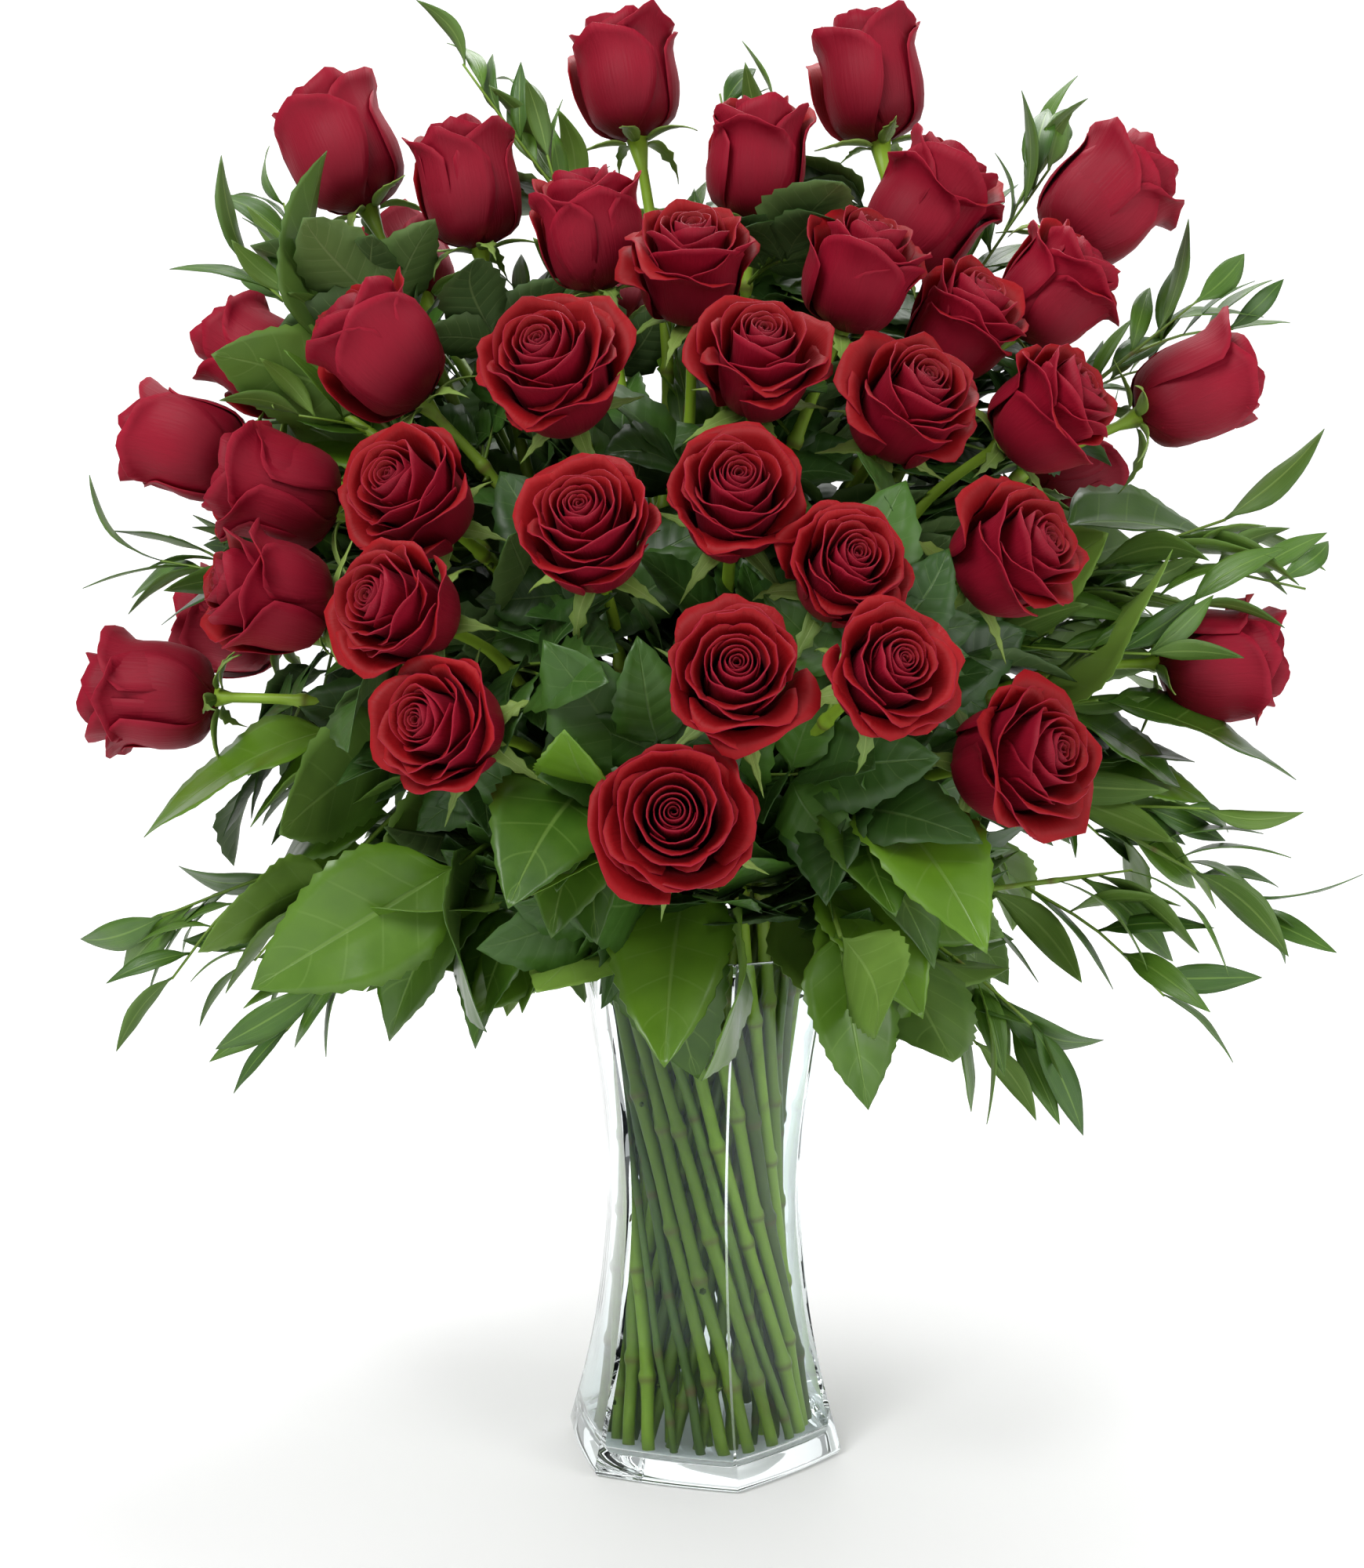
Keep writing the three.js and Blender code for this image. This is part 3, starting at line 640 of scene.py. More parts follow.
petalShape = {
    "columns": 13,
    "rows": 11,
    "thickness": 0.0005,
    "budCount": 19,
    "openCount": 31,
    "goldenTurn": math.radians(137.508),
    "fullness": 1.05,
    # painted shade: how much darker the innermost petals of each flower are painted
    "paintedHeartShade": 2.4,
    # from the innermost petal to the outermost, at these places
    "places": [0, 0.25, 0.6, 0.85, 1],
    "bellyOpen": [0.075, 0.24, 0.42, 0.57, 0.66],
    "bellyBud": [0.12, 0.38, 0.62, 0.78, 0.86],
    "topPlaces": [0, 0.3, 0.6, 0.85, 1],
    "topOpen": [0.9, 0.95, 0.96, 0.84, 0.68],
    "topBud": [0.99, 1.0, 0.99, 0.96, 0.92],
    "wrapPlaces": [0, 0.2, 0.42, 0.7, 1],
    "wrap": [165, 118, 88, 70, 60],
    "profile": [0, 0.24, 0.48, 0.76, 1],  # heights up one petal that its outline goes through
}


def shapePetal(u, v, head, q, turn, chance):
    # u runs across the petal, v up it; q is 0 for the innermost petal and 1 for the outermost
    form = petalShape
    half = head["width"] / 2 * form["fullness"]
    height, isOpen = head["height"] * form["fullness"], head["open"]
    vary = lambda amount: 1 + chance.uniform(-amount, amount)
    outer = smoothStep(0.25, 0.9, q)
    bellyOpen = curveThrough(form["bellyOpen"], form["places"], q)
    bellyBud = curveThrough(form["bellyBud"], form["places"], q)
    belly = half * blend(bellyBud, bellyOpen, isOpen) * vary(blend(0.03, 0.06, outer))
    closing = blend(0.5, blend(0.84, 1.1, isOpen), smoothStep(0.0, 0.8, q))
    rim = belly * closing * vary(0.05)
    topOpen = curveThrough(form["topOpen"], form["topPlaces"], q)
    topBud = curveThrough(form["topBud"], form["topPlaces"], q)
    top = height * blend(topBud, topOpen, isOpen) * vary(blend(0.015, 0.05, outer))
    wrap = math.radians(curveThrough(form["wrap"], form["wrapPlaces"], q)) * vary(0.08)
    lip = half * blend(0.015, blend(0.18, 0.28, isOpen), outer**1.5) * vary(0.4)
    lip = lip * (1 + (q > 0.8) * chance.choice([0, 0, 0.25, 0.55]))
    lipStart = blend(0.86, blend(0.8, 0.56, isOpen), outer)
    side = np.abs(u)
    w = v * (1 - blend(0.08, 0.27, outer) * side**2.3)
    radii = [0.0035, 0.8 * belly, belly, blend(belly, rim, 0.55), rim]
    r = curveThrough(radii, form["profile"], w)
    z = curveThrough([-0.001, 0.12 * top, 0.38 * top, 0.72 * top, top], form["profile"], w)
    roll = np.clip((w - lipStart) / (1 - lipStart), 0, 1)
    lipHere = lip * (0.5 + 0.85 * smoothStep(0.1, 0.7, side))
    r = r + lipHere * roll**1.7
    z = z - lipHere * roll**2.6 * blend(0.35, 0.8, outer)
    tip = chance.uniform(-0.2, 0.2)
    point = np.exp(-(((u - tip) / 0.17) ** 2)) * smoothStep(0.76, 1, w) * outer
    z = z + point * half * chance.uniform(0.03, 0.12) * blend(1, 0.3, isOpen)
    r = r + point * half * chance.uniform(0.02, 0.14)
    r = r + u * half * blend(0.012, 0.05, outer) * smoothStep(0.1, 0.6, w)  # one side tucked under
    curl = np.clip((side - 0.55) / 0.45, 0, 1) ** 2 * smoothStep(0.35, 1, w)
    r = r + curl * half * blend(0.0, 0.11, outer) * vary(0.5)
    wave = np.sin(u * chance.uniform(3.5, 6.5) + chance.uniform(0, 6.28)) * smoothStep(0.7, 1, w)
    r = r + wave * half * blend(0.004, 0.03, outer)
    dip = np.sin(u * chance.uniform(4, 8) + chance.uniform(0, 6.28)) * smoothStep(0.75, 1, w)
    z = z + dip * half * 0.014
    r = r + z * outer * chance.uniform(-0.03, 0.09)
    z = z + r * outer * chance.uniform(-0.07, 0.05)
    widening = 0.42 + 0.58 * np.sin(np.minimum(w / 0.6, 1) * math.pi / 2)
    angle = turn + u * wrap * widening
    return np.stack([r * np.cos(angle), r * np.sin(angle), z], axis=1)


def turnTo(aim, spin):
    # axes of a flower whose own z runs along the aim
    third = unit(aim)
    first = unit(np.cross([0.13, 0.31, 0.94], third))
    second = np.cross(third, first)
    c, s = math.cos(spin), math.sin(spin)
    return np.stack([first * c + second * s, second * c - first * s, third])


petalModel = startGrid("petalModel", petalShape["columns"], petalShape["rows"], [petalBack, petalFront])
petalGrid = placesOf(petalModel)
petalU, petalV = petalGrid[:, 0] * 2, petalGrid[:, 1] + 0.5


def makeBloom(name, head):
    chance = random.Random(name)
    axes = turnTo(head["aim"], chance.uniform(0, 6.28))
    count = round(blend(petalShape["budCount"], petalShape["openCount"], head["open"]))
    tint = chance.uniform(0, 0.6)
    petals = []
    for i in range(count):
        turn = i * petalShape["goldenTurn"] + chance.uniform(-0.3, 0.3)
        places = shapePetal(petalU, petalV, head, i / (count - 1), turn, chance)
        # painted shade: the inner petals get a higher tone, which their finish turns into a darker red
        heartShade = petalShape["paintedHeartShade"] * (1 - i / (count - 1)) ** 2
        tone = np.clip(tint + chance.uniform(-0.3, 0.4), 0, 1) + heartShade
        petals.append(copyShaped(petalModel, head["neck"] + places @ axes, tone=tone))
    bloom = joinInto(name + "_petals", petals)
    cleanSheets(bloom, petalShape["thickness"])
    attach(bloom, "root")
    return bloom


blooms = {name: makeBloom(name, roses[name]) for name in roseNames}
print("made", len(blooms), "rose heads")

# stems, thorns, sepals and the leaves that roses grow

tubeRings, stalkRings = 76, 7
stemModel = startTube("stemModel", 9, tubeRings, [stemGreen, cutEnd])
branchModel = startTube("branchModel", 7, tubeRings, [branchGreen, cutEnd])
stalkModel = startTube("stalkModel", 5, stalkRings, [branchGreen])

roseStem = {
    "neckRadius": 0.0027,
    "hipRadius": 0.0068,
    "nodeSpacing": (0.052, 0.078),
    "nodeSwelling": 0.42,
    "thornLength": 0.0045,
    "sway": 0.0008,
    "thorny": 0.55,
    "leavesFrom": 0.275,
    "leavesUpTo": 0.035,  # left bare under the flower
    "twoLeaves": 0.9,
}


nodeForm = {"halfLength": 0.0032, "scar": 0.0016, "scarBelow": 0.0015, "bend": 0.02}


def stemSteps(length, nodes, count):
    # ring places along a stem: even, with extra rings round each swollen node
    around = [node + gap for node in nodes for gap in (-0.004, -0.0015, 0.0015, 0.004)]
    around = [place for place in around if 0.002 < place < length - 0.02][: count - 20]
    even = np.linspace(0, length, count - len(around))
    return np.sort(np.concatenate([even, around])) / length


def stemCourse(points, count, chance, spacing, radius, swelling, sway):
    # the path of a stem, its radius at each ring, and the places of its nodes
    _, length = smoothPath(points, [0, 1])
    nodes, place = [], chance.uniform(0.3, 1.0) * spacing[0]
    while place < length - 0.03:
        nodes.append(place)
        place += chance.uniform(*spacing)
    shares = stemSteps(length, nodes, count)
    path, _ = smoothPath(points, shares)
    radii, rims = np.full(count, radius), np.zeros(count)
    for n, node in enumerate(nodes):
        past = shares * length - node
        bump = np.exp(-((past / nodeForm["halfLength"]) ** 2))
        radii = radii * (1 + bump * swelling)
        rims = np.maximum(rims, np.exp(-(((past + nodeForm["scarBelow"]) / nodeForm["scar"]) ** 2)))
        turn = n * 2.4 + chance.uniform(-0.4, 0.4)
        near = np.exp(-((past / nodeForm["bend"]) ** 2))[:, None]
        path = path + near * sway * np.array([math.cos(turn), math.sin(turn), 0])
    radii *= 1 + 0.05 * np.sin(shares * chance.uniform(9, 14) + chance.uniform(0, 6))
    return path, radii, shares, rims, [node / length for node in nodes]


def makeThorn(start, out, size):
    clearSelection()
    bpy.ops.mesh.primitive_cone_add(vertices=6, radius1=0.42, depth=1, location=(0, 0, 0.5))
    thorn = bpy.context.object
    bpy.ops.object.transform_apply()
    places = placesOf(thorn)
    places[:, 1] -= 0.25 * places[:, 2] ** 2  # hooked down
    axes = turnTo(out, 0)
    axes[1] = -unit(np.array([0, 0, 1]) - axes[2] * axes[2][2])
    axes[0] = np.cross(axes[1], axes[2])
    thorn.data.vertices.foreach_set("co", (start + places @ axes * size).astype(np.float32).ravel())
    thorn.data.materials.append(stemGreen)
    return thorn


sepalShape = {
    "count": 5,
    "columns": 4,
    "rows": 11,
    "length": 0.033,
    "width": 0.0085,
    "thickness": 0.0006,
    "outline": [0.5, 0.95, 1.0, 0.55, 0.2, 0.1, 0.0],
    "outlinePlaces": [0, 0.14, 0.28, 0.52, 0.74, 0.9, 1],
    "lobeRows": (6, 8),
    "hipEdge": 0.0062,  # how far from the stem's middle they start
    "hipDepth": 0.002,
}
sepalModel = startGrid("sepalModel", sepalShape["columns"], sepalShape["rows"], [sepalGreen, sepalGreen])
sepalGrid = placesOf(sepalModel)


def makeSepals(head, chance):
    axes = turnTo(head["aim"], chance.uniform(0, 6.28))
    u, v = sepalGrid[:, 0] * 2, sepalGrid[:, 1] + 0.5
    share = curveThrough(sepalShape["outline"], sepalShape["outlinePlaces"], v)
    row = np.round(v * sepalShape["rows"]).astype(int)
    lobed = (np.abs(u) > 0.9) & np.isin(row, sepalShape["lobeRows"])
    sepals = []
    for i in range(sepalShape["count"]):
        length = sepalShape["length"] * chance.uniform(0.8, 1.2)
        leave = math.radians(chance.uniform(66, 88))
        bow = math.radians(chance.uniform(25, 105))
        tip = math.radians(chance.uniform(-60, 40))
        steps = np.linspace(0, 1, sepalShape["rows"] + 1)
        angles = leave + bow * steps + tip * steps**3
        out = np.concatenate([[0], np.cumsum(np.sin(angles[:-1]))]) * length / sepalShape["rows"]
        rise = np.concatenate([[0], np.cumsum(np.cos(angles[:-1]))]) * length / sepalShape["rows"]
        lobes = 1 + 0.5 * lobed * chance.uniform(0.6, 2.2)
        side = u * share * sepalShape["width"] / 2 * lobes
        cup = np.abs(u) ** 2 * 0.0012 * share
        twist = chance.uniform(-0.5, 0.5) * v**2
        turn = i * 2 * math.pi / sepalShape["count"] + chance.uniform(-0.12, 0.12)
        x = sepalShape["hipEdge"] + out[row] + cup * np.cos(angles[row])
        y = side * np.cos(twist)
        z = -sepalShape["hipDepth"] + rise[row] + cup * np.sin(angles[row]) + side * np.sin(twist)
        c, s = math.cos(turn), math.sin(turn)
        places = np.stack([x * c - y * s, x * s + y * c, z], axis=1)
        sepals.append(copyShaped(sepalModel, head["neck"] + places @ axes, tone=chance.uniform(0.2, 1)))
    whole = joinInto("sepals", sepals)
    cleanSheets(whole, sepalShape["thickness"], offset=1.0)
    return whole


leafForms = {
    "lemon": {
        "columns": 8,
        "rows": 26,
        "skins": [lemonTop, lemonUnder],
        "outline": [0.02, 0.03, 0.54, 0.92, 1.0, 0.84, 0.5, 0.2, 0.0],
        "teeth": 0.035,
        "bow": 0.10,
        "fold": 0.20,
        "ripple": 0.035,
        "thickness": 0.0004,
    },
    "ruscus": {
        "columns": 4,
        "rows": 12,
        "skins": [ruscusTop, ruscusUnder],
        "outline": [0.07, 0.09, 0.42, 0.84, 1.0, 0.9, 0.5, 0.2, 0.0],
        "teeth": 0.0,
        "bow": 0.13,
        "fold": 0.16,
        "ripple": 0.012,
        "thickness": 0.0004,
    },
    "rose": {
        "columns": 4,
        "rows": 14,
        "skins": [roseLeafTop, roseLeafUnder],
        "outline": [0.03, 0.05, 0.56, 0.92, 1.0, 0.86, 0.52, 0.22, 0.0],
        "teeth": 0.06,
        "bow": 0.12,
        "fold": 0.22,
        "ripple": 0.03,
        "thickness": 0.00035,
    },
}
outlinePlaces = [0, 0.05, 0.14, 0.27, 0.42, 0.62, 0.81, 0.93, 1]
leafModels = {
    kind: startGrid(kind + "LeafModel", form["columns"], form["rows"], form["skins"])
    for kind, form in leafForms.items()
}
leafGrids = {kind: placesOf(model) for kind, model in leafModels.items()}


def makeLeaf(kind, base, along, face, length, width, chance):
    form = leafForms[kind]
    grid = leafGrids[kind]
    u, v = grid[:, 0] * 2, grid[:, 1] + 0.5
    row = np.round(v * form["rows"]).astype(int)
    share = curveThrough(form["outline"], outlinePlaces, v)
    tooth = np.where(row % 2 == 0, 1, -1) * (np.abs(u) > 0.9) * smoothStep(0.12, 0.3, v)
    half = width / 2 * share * (1 + form["teeth"] * tooth)
    x = u * half
    y = v * length
    bow = form["bow"] * chance.uniform(0.3, 1.5)
    z = bow * length * 4 * v * (1 - v) * (1 - 0.25 * v)
    z = z + form["fold"] * chance.uniform(0.2, 1.6) * np.abs(x)
    phase, beats = chance.uniform(0, 6.28), chance.uniform(9, 15)
    z = z + form["ripple"] * length * np.sin(v * beats + phase + u) * np.abs(u) ** 2 * share * 0.5
    x = x + length * chance.uniform(-0.07, 0.07) * 4 * v * (1 - v)
    twist = chance.uniform(-0.35, 0.35) * (v - 0.1)
    x, z = x * np.cos(twist) - z * np.sin(twist), z * np.cos(twist) + x * np.sin(twist)
    across = np.cross(along, face)
    places = base + x[:, None] * across + y[:, None] * along + z[:, None] * face
    return copyShaped(leafModels[kind], places, tone=chance.random() ** 2.2)


def makeStalk(points, radius, chance):
    path, _ = smoothPath(points, np.linspace(0, 1, stalkRings))
    radii = radius * np.linspace(1.25, 0.8, stalkRings)
    return shapeTube(stalkModel, path, radii, np.zeros(stalkRings), tone=chance.random())


heads = np.array([rose["neck"] + rose["aim"] * rose["height"] * 0.5 for rose in roses.values()])
headSizes = np.array([rose["width"] / 2 for rose in roses.values()])


def roomAt(points):
    # how far the nearest flower or the vase is from a set of points
    points = np.asarray(points)
    gaps = np.linalg.norm(points[:, None] - heads[None], axis=2) - headSizes
    fromAxis = np.hypot(points[:, 0], points[:, 1]) - vaseTopRadius
    overRim = np.where(points[:, 2] > vaseTop, 0.05, fromAxis)
    return min(gaps.min(), overRim.min())


def insideBox(points, margin=0.004):
    low, high = np.array(cadBox[0]) + margin, np.array(cadBox[1]) - margin
    return bool(np.all(points > low) and np.all(points < high))


roseLeaf = {
    "tries": 14,
    "reach": (0.075, 0.105),
    "leaflet": (0.05, 0.074),
    "slimness": 0.6,
    "sideSlimness": 0.58,
    "fiveLeaflets": 0.7,
    "stalkRadius": 0.0009,
}


def makeCompound(start, tangent, limit, chance):
    # a rose leaf: a stalk with three to five leaflets, held where it clears the flowers and
    # stays behind its own flower, which is at the limit from the middle
    outward = unit(start - leafCentre)
    best = None
    for attempt in range(roseLeaf["tries"]):
        spin = attempt * 2.4 + chance.uniform(0, 0.6)
        axes = turnTo(tangent, spin)
        spread = chance.uniform(0.75, 1.25)
        along = unit(axes[0] * math.sin(spread) + tangent * math.cos(spread))
        reach = chance.uniform(*roseLeaf["reach"])
        tests = [start + along * reach * k for k in (0.45, 0.8, 1.15)]
        room = roomAt(tests)
        past = max(0, np.linalg.norm(tests[-1] - leafCentre) - limit)
        score = min(room, 0.02) * 30 + along @ outward * 0.35 - past * 30
        if insideBox(tests) and (best is None or score > best[0]):
            best = (score, along, reach)
    if best is None or best[0] < -0.2:
        return [], []
    _, along, reach = best
    face = unit(outward + np.array([0, 0, 0.5]) - along * (outward @ along + 0.5 * along[2]))
    face = unit(face - along * (face @ along))
    side = np.cross(along, face)
    droop = np.array([0, 0, -1]) * reach * chance.uniform(0.0, 0.22)
    fork = start + along * reach * 0.5 + droop * 0.35
    halfway = start + along * reach * 0.25 + droop * 0.05
    stalks = [makeStalk([start, halfway, fork], roseLeaf["stalkRadius"], chance)]
    size = chance.uniform(*roseLeaf["leaflet"])
    width = size * roseLeaf["slimness"]
    leaves = [makeLeaf("rose", fork, unit(along + droop * 3), face, size, width, chance)]
    pairs = [fork - along * 0.004]
    if chance.random() < roseLeaf["fiveLeaflets"]:
        pairs.append(start + along * reach * 0.24)
    for spot in pairs:
        for hand in (-1, 1):
            forward, lift = chance.uniform(0.35, 0.75), chance.uniform(-0.2, 0.15)
            lean = unit(side * hand + along * forward + face * lift)
            flat = unit(face - lean * (face @ lean))
            small = size * chance.uniform(0.72, 0.88)
            width = small * roseLeaf["sideSlimness"]
            leaves.append(makeLeaf("rose", spot, lean, flat, small, width, chance))
    return stalks, leaves


def makeRoseGreenery(name, rose):
    chance = random.Random(name + " green")
    points = np.vstack([rose["path"], rose["neck"] + rose["aim"] * 0.004])
    path, radii, shares, rims, nodes = stemCourse(
        points, tubeRings, chance, roseStem["nodeSpacing"], stemRadius["rose"],
        roseStem["nodeSwelling"], roseStem["sway"],
    )
    _, length = smoothPath(points, [0, 1])
    fromEnd = (1 - shares) * length
    radii *= blend(roseStem["neckRadius"] / stemRadius["rose"], 1, smoothStep(0.02, 0.09, fromEnd))
    hip = np.exp(-((np.maximum(fromEnd - 0.004, 0) / 0.0045) ** 2))
    radii = blend(radii, roseStem["hipRadius"], hip)
    stem = shapeTube(stemModel, path, radii, rims, tone=chance.random() ** 1.6)
    parts = [stem, makeSepals(rose, chance)]
    leaves, limit = [], np.linalg.norm(rose["neck"] - leafCentre)
    for node in nodes:
        spot = np.array([np.interp(node, shares, path[:, i]) for i in range(3)])
        ahead = np.array([np.interp(min(node + 0.02, 1), shares, path[:, i]) for i in range(3)])
        tangent = unit(ahead - spot)
        if chance.random() < roseStem["thorny"]:
            turn = turnTo(tangent, chance.uniform(0, 6.28))[0]
            size = roseStem["thornLength"] * chance.uniform(0.7, 1.1)
            parts.append(makeThorn(spot + turn * 0.003 - tangent * 0.006, turn, size))
        if spot[2] > roseStem["leavesFrom"] and (1 - node) * length > roseStem["leavesUpTo"]:
            for _ in range(2 if chance.random() < roseStem["twoLeaves"] else 1):
                stalks, fresh = makeCompound(spot, tangent, limit, chance)
                parts += stalks
                leaves += fresh
    if leaves:
        foliage = joinInto("foliage", leaves)
        cleanSheets(foliage, leafForms["rose"]["thickness"])
        parts.append(foliage)
    whole = pick(joinInto(name + "_greenery", parts))
    bpy.ops.object.shade_smooth()
    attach(whole, "root")
    return whole


def readVase():
    # heights and corner radii of the outside, and what is left for the wall and the floor
    corners, _ = readNode("vase")
    radii = np.hypot(corners[:, 0], corners[:, 1])
    heights = np.unique(corners[:, 2])
    middles = corners[radii < 0.001]
    floorHeight = middles[:, 2].max()
    heights = heights[heights != floorHeight]
    outer = np.array([radii[corners[:, 2] == z].max() for z in heights])
    widest = (corners[:, 2] == heights[1]) & (radii > outer[1] * 0.8)
    tip = corners[widest][np.argmax(radii[widest])]
    rim = np.sort(radii[corners[:, 2] == heights[-1]])
    flatShare = radii[widest].min() / outer[1]
    wall = outer[-1] - rim[rim < outer[-1] * 0.999].max()
    return {
        "heights": heights,
        "outer": outer,
        "floor": floorHeight,
        "wall": min(wall, outer[-1] - rim.min() / flatShare),
        "cornerAngle": math.atan2(tip[1], tip[0]),
        "flatShare": flatShare,
    }


vaseShape = readVase()
vaseTop = vaseShape["heights"][-1]
vaseTopRadius = vaseShape["outer"][-1]

greenery = {name: makeRoseGreenery(name, roses[name]) for name in roseNames}
for name in roseNames:
    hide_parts(name)
    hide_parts(name)
print("made", len(greenery), "stems with their sepals and leaves")


# lemon leaf and ruscus

branchForms = {
    "lemon": {
        "spacing": (0.035, 0.055),
        "swelling": 0.18,
        "sway": 0.0012,
        "fill": 0.021,
        "hang": 0.3,
        "loose": 0.35,
        "twig": 0.085,
        "twigRadius": 0.0013,
        "twigEvery": 3,
        "slot": "lemon_leaf",
    },
    "ruscus": {
        "spacing": (0.028, 0.04),
        "swelling": 0.22,
        "sway": 0.001,
        "fill": 0.017,
        "hang": 0.05,
        "loose": 1.1,
        "twig": 0.082,
        "twigRadius": 0.0008,
        "twigEvery": 3,
        "slot": "ruscus_leaf",
    },
}


rimRoom = (0.014, 0.02)  # leaves start this far above the vase's rim, or this far out from it


def clearHeading(spot, tangent, reach, hang, spreads, chance):
    # the direction for a leaf or a twig that has most room round it and looks outward
    outward = unit(spot - leafCentre)
    best = None
    for attempt in range(16):
        axes = turnTo(tangent, attempt * 2.4)
        spread = chance.uniform(*spreads)
        along = unit(axes[0] * math.sin(spread) + tangent * math.cos(spread))
        tests = [spot + along * reach * share for share in (0.3, 0.65, 1.06)]
        score = min(roomAt(tests), 0.012) * 60 + along @ outward * 0.5 - along[2] * hang
        if insideBox(tests) and (best is None or score > best[0]):
            best = (score, along)
    return best[1] if best and best[0] > -0.6 else None


def leafAt(spot, tangent, size, form, chance):
    along = clearHeading(spot, tangent, size, form["hang"], (0.6, 1.25), chance)
    if along is None:
        return []
    loose = np.array([chance.uniform(-1, 1), chance.uniform(-1, 0.2), chance.uniform(-0.3, 1)])
    face = unit(unit(spot - leafCentre) + np.array([0, 0, 0.35]) + loose * form["loose"])
    face = unit(face - along * (face @ along))
    return [{"base": spot, "along": along, "face": face, "length": size}]


def growMore(branch, kind, chance):
    # leaves in the longer gaps of the stems, and short leafy twigs from the same stems
    form, leaves, stalks = branchForms[kind], [], []
    bases = [leaf["base"] for leaf in branch["leaves"]]
    size = np.median([leaf["length"] for leaf in branch["leaves"]])
    for points in branch["paths"]:
        _, length = smoothPath(points, [0, 1])
        place, count = length - size * 0.25, 0
        while place > 0.03:
            near = np.clip([(place - 0.004) / length, place / length, (place + 0.004) / length], 0, 1)
            before, spot, after = smoothPath(points, near)[0]
            place -= form["fill"] * chance.uniform(0.75, 1.2)
            fromAxis = math.hypot(spot[0], spot[1])
            if spot[2] < vaseTop + rimRoom[0] and fromAxis < vaseTopRadius + rimRoom[1]:
                continue
            tangent, count = unit(after - before), count + 1
            if min(np.linalg.norm(spot - base) for base in bases) > form["fill"] * 0.45:
                leaves += leafAt(spot, tangent, size * chance.uniform(0.75, 1.12), form, chance)
                bases.append(spot)
            if count % form["twigEvery"] == 0:
                reach = form["twig"] * chance.uniform(0.75, 1.1)
                along = clearHeading(spot, tangent, reach * 1.25, form["hang"], (0.5, 1.1), chance)
                if along is None:
                    continue
                bend = np.array([0, 0, 1]) * reach * chance.uniform(-0.16, 0.06)
                course = [spot, spot + along * reach * 0.5 - bend * 0.1, spot + along * reach + bend]
                stalks.append(makeStalk(course, form["twigRadius"], chance))
                for share in np.arange(0.3, 0.99, form["fill"] * 0.9 / reach):
                    low, here = smoothPath(course, [share - 0.02, share])[0]
                    grown = size * chance.uniform(0.6, 0.85)
                    leaves += leafAt(here, unit(here - low), grown, form, chance)
                tip = unit(course[2] - course[1])
                leaves += [{
                    "base": course[2] - tip * 0.002, "along": tip, "length": size * 0.7,
                    "face": unit(np.cross(tip, np.cross(unit(spot - leafCentre), tip))),
                }]
    tips = [leaf["base"] + leaf["along"] * leaf["length"] for leaf in leaves]
    return [leaf for leaf, tip in zip(leaves, tips) if insideBox(tip, 0.009)], stalks


def makeBranch(name, branch):
    chance = random.Random(name)
    kind = branch["kind"]
    form = branchForms[kind]
    parts, radius = [], stemRadius[kind]
    for n, points in enumerate(branch["paths"]):
        size = radius * (shootRatio if n else 1)
        sway = 0 if n else form["sway"]  # a side shoot stays on its fork
        path, radii, shares, rims, _ = stemCourse(
            points, tubeRings, chance, form["spacing"], size, form["swelling"], sway,
        )
        radii = radii * blend(1.0, 0.4, smoothStep(0.55, 1.0, shares))
        parts.append(shapeTube(branchModel, path, radii, rims, tone=chance.random()))
    leaves = []
    grown, stalks = growMore(branch, kind, chance)
    parts += stalks
    for leaf in branch["leaves"] + grown:
        length = leaf["length"]
        width = length * leafSlimness[kind] * chance.uniform(0.88, 1.0)
        leaves.append(makeLeaf(kind, leaf["base"], leaf["along"], leaf["face"], length, width, chance))
    foliage = joinInto("foliage", leaves)
    cleanSheets(foliage, leafForms[kind]["thickness"])
    whole = pick(joinInto(name + "_branch", parts + [foliage]))
    bpy.ops.object.shade_smooth()
    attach(whole, "root")
    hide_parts(name)


for name in branchNames:
    makeBranch(name, branches[name])
print("made", len(branchNames), "branches")

# the vase

glassForm = {"sides": 96, "levels": 34, "rimEdge": 0.0014, "creaseAngle": 34}


def glassSkin():
    # the tint dims the mirrored room in the walls that face the eye and leaves the edges bright
    dim = (0.3, 0.36, 0.38, 1)
    paint = Paint("vaseGlass", Transmission_Weight=1.0, IOR=1.45, Roughness=0.0, Specular_Tint=dim)
    cloud = paint.noise(9.0, 2.0)
    ripple = paint.noise(16.0, 1.0)
    colour = paint.mix(cloud, (0.86, 0.94, 0.945), (0.93, 0.97, 0.975))
    return paint.finish(colour, None, ripple, 0.0008, 0.3)


def hexagonShare(fromCorner):
    # a rounded hexagon: the radius at an angle from a corner, as a share of the corner's
    sixth = math.pi / 3
    hexagon = math.cos(sixth / 2) / np.cos(np.mod(fromCorner, sixth) - sixth / 2)
    flatness = (1 - vaseShape["flatShare"]) / (1 - math.cos(sixth / 2))
    return blend(1, hexagon, flatness)


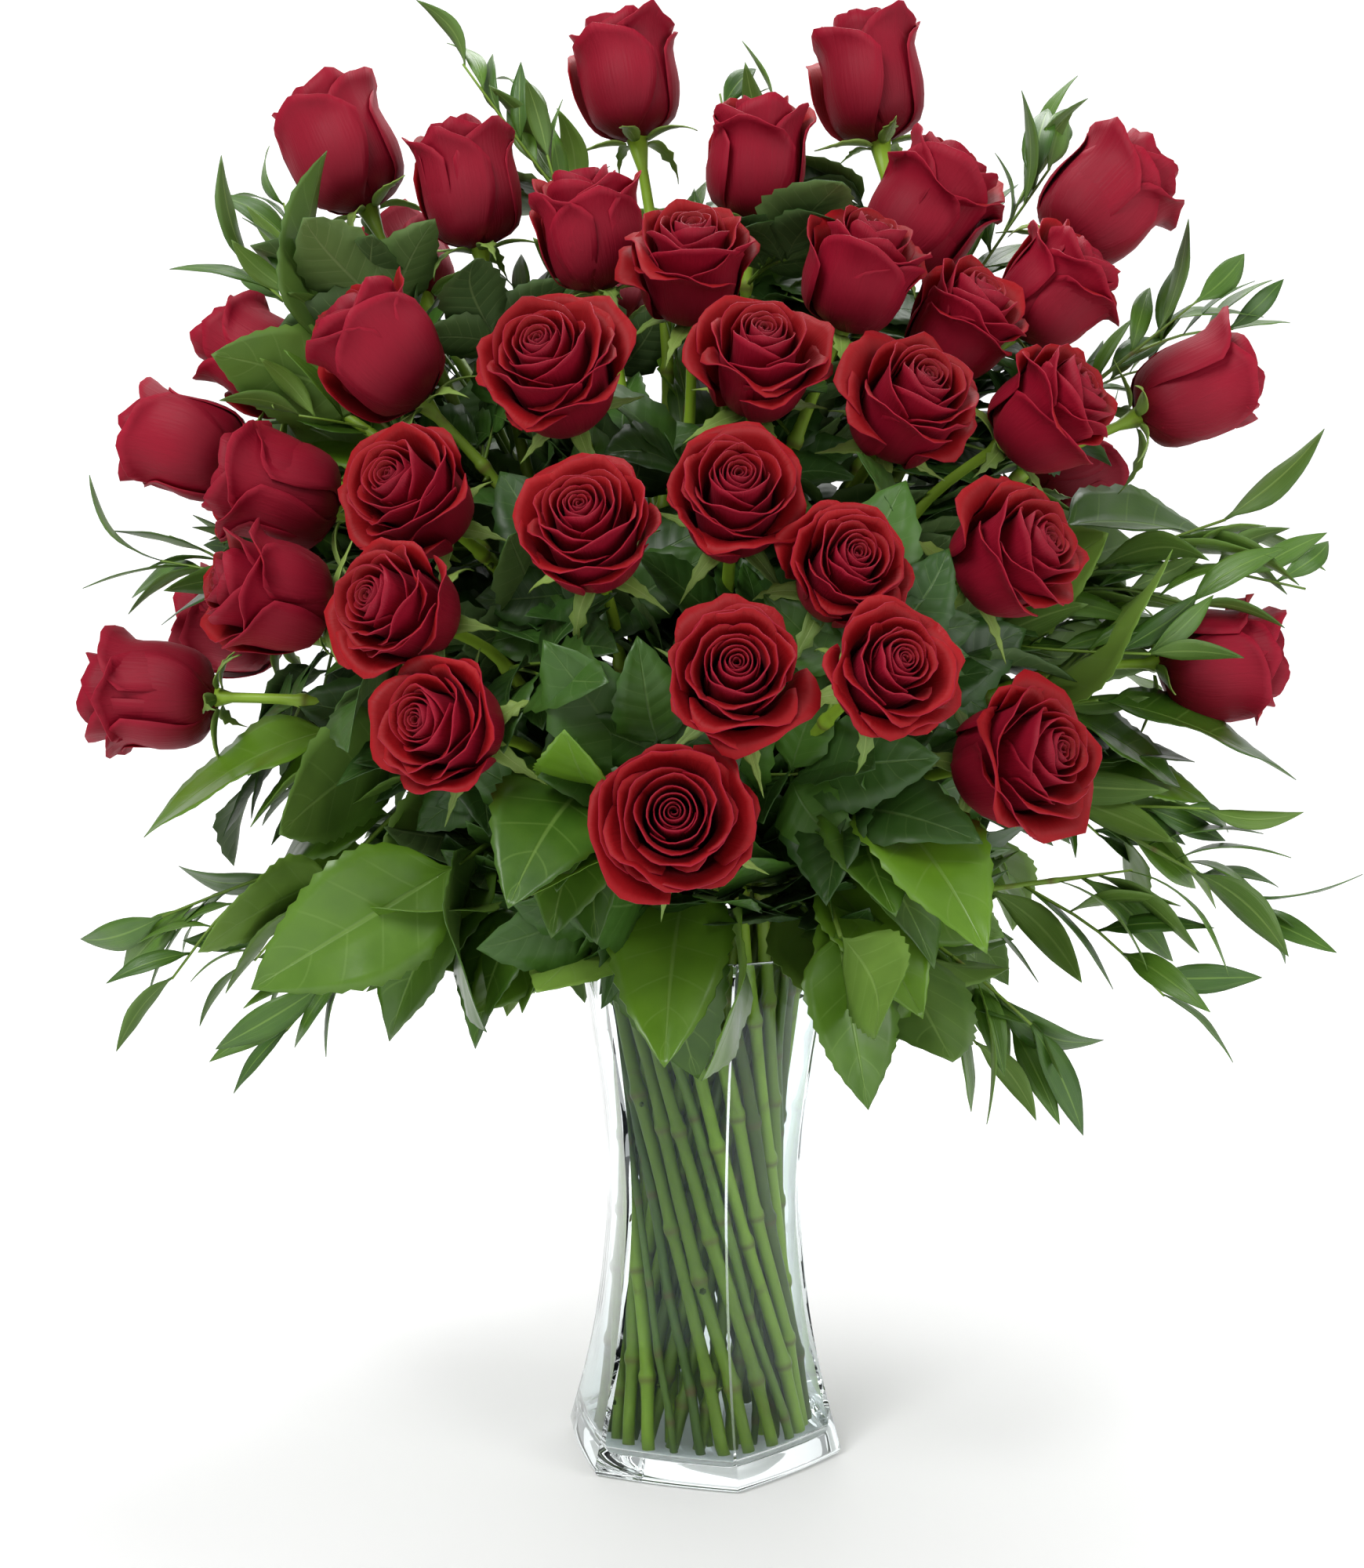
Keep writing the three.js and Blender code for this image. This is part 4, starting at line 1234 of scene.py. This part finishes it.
def vaseSection():
    # corner radius and height, from the middle of the foot round the rim to the inner floor
    heights, outer = vaseShape["heights"], vaseShape["outer"]
    wall, floor, edge = vaseShape["wall"], vaseShape["floor"], glassForm["rimEdge"]
    quarter = np.linspace(0, math.pi / 2, 6)
    foot, footTop = outer[0], heights[1]
    swell = outer[1] - foot
    section = [(foot + swell * math.sin(a), footTop * (1 - math.cos(a))) for a in quarter]
    sideLevels = np.linspace(footTop, vaseTop - edge, glassForm["levels"])[1:]
    radiusAt = lambda z: float(curveThrough(outer[1:], heights[1:], z))
    section += [(radiusAt(z), z) for z in sideLevels]
    top = radiusAt(vaseTop)
    inner, bend = top - wall, 2 * wall
    low = radiusAt(floor + bend) - wall
    section += [(top - edge * (1 - math.cos(a)), vaseTop - edge * (1 - math.sin(a))) for a in quarter[1:]]
    section += [(inner + edge * (1 - math.sin(a)), vaseTop - edge * (1 - math.cos(a))) for a in quarter]
    section += [(radiusAt(z) - wall, z) for z in sideLevels[::-1][1:] if z > floor + bend]
    section += [(low - bend * (1 - math.cos(a)), floor + bend * (1 - math.sin(a))) for a in quarter]
    return section


def makeVase():
    clearSelection()
    section = vaseSection()
    radius, height = section[0]
    bpy.ops.mesh.primitive_circle_add(vertices=glassForm["sides"], radius=1)
    vase = bpy.context.object
    vase.name = "vase_glass"
    angles = np.arange(glassForm["sides"]) * 2 * math.pi / glassForm["sides"]
    ring = radius * hexagonShare(angles)
    turned = angles + vaseShape["cornerAngle"]
    places = np.stack([ring * np.cos(turned), ring * np.sin(turned), np.full(len(ring), height)], axis=1)
    vase.data.vertices.foreach_set("co", places.astype(np.float32).ravel())
    bpy.ops.object.mode_set(mode="EDIT")
    bpy.ops.mesh.select_mode(type="VERT")
    bpy.ops.mesh.select_all(action="SELECT")
    bpy.ops.mesh.edge_face_add()
    for nextRadius, nextHeight in section[1:]:
        rise, grow = nextHeight - height, nextRadius / radius
        bpy.ops.mesh.extrude_region_move(TRANSFORM_OT_translate={"value": (0, 0, rise)})
        bpy.ops.transform.resize(value=(grow, grow, 1), center_override=(0, 0, nextHeight))
        radius, height = nextRadius, nextHeight
    bpy.ops.mesh.select_all(action="SELECT")
    bpy.ops.mesh.normals_make_consistent(inside=False)
    bpy.ops.object.mode_set(mode="OBJECT")
    bpy.ops.object.shade_smooth_by_angle(angle=math.radians(glassForm["creaseAngle"]))
    vase.data.materials.append(glassSkin())
    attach(vase, "root")
    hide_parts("vase")


makeVase()
print("made the vase")

for model in (petalModel, stemModel, branchModel, stalkModel, sepalModel, *leafModels.values()):
    bpy.data.objects.remove(model)
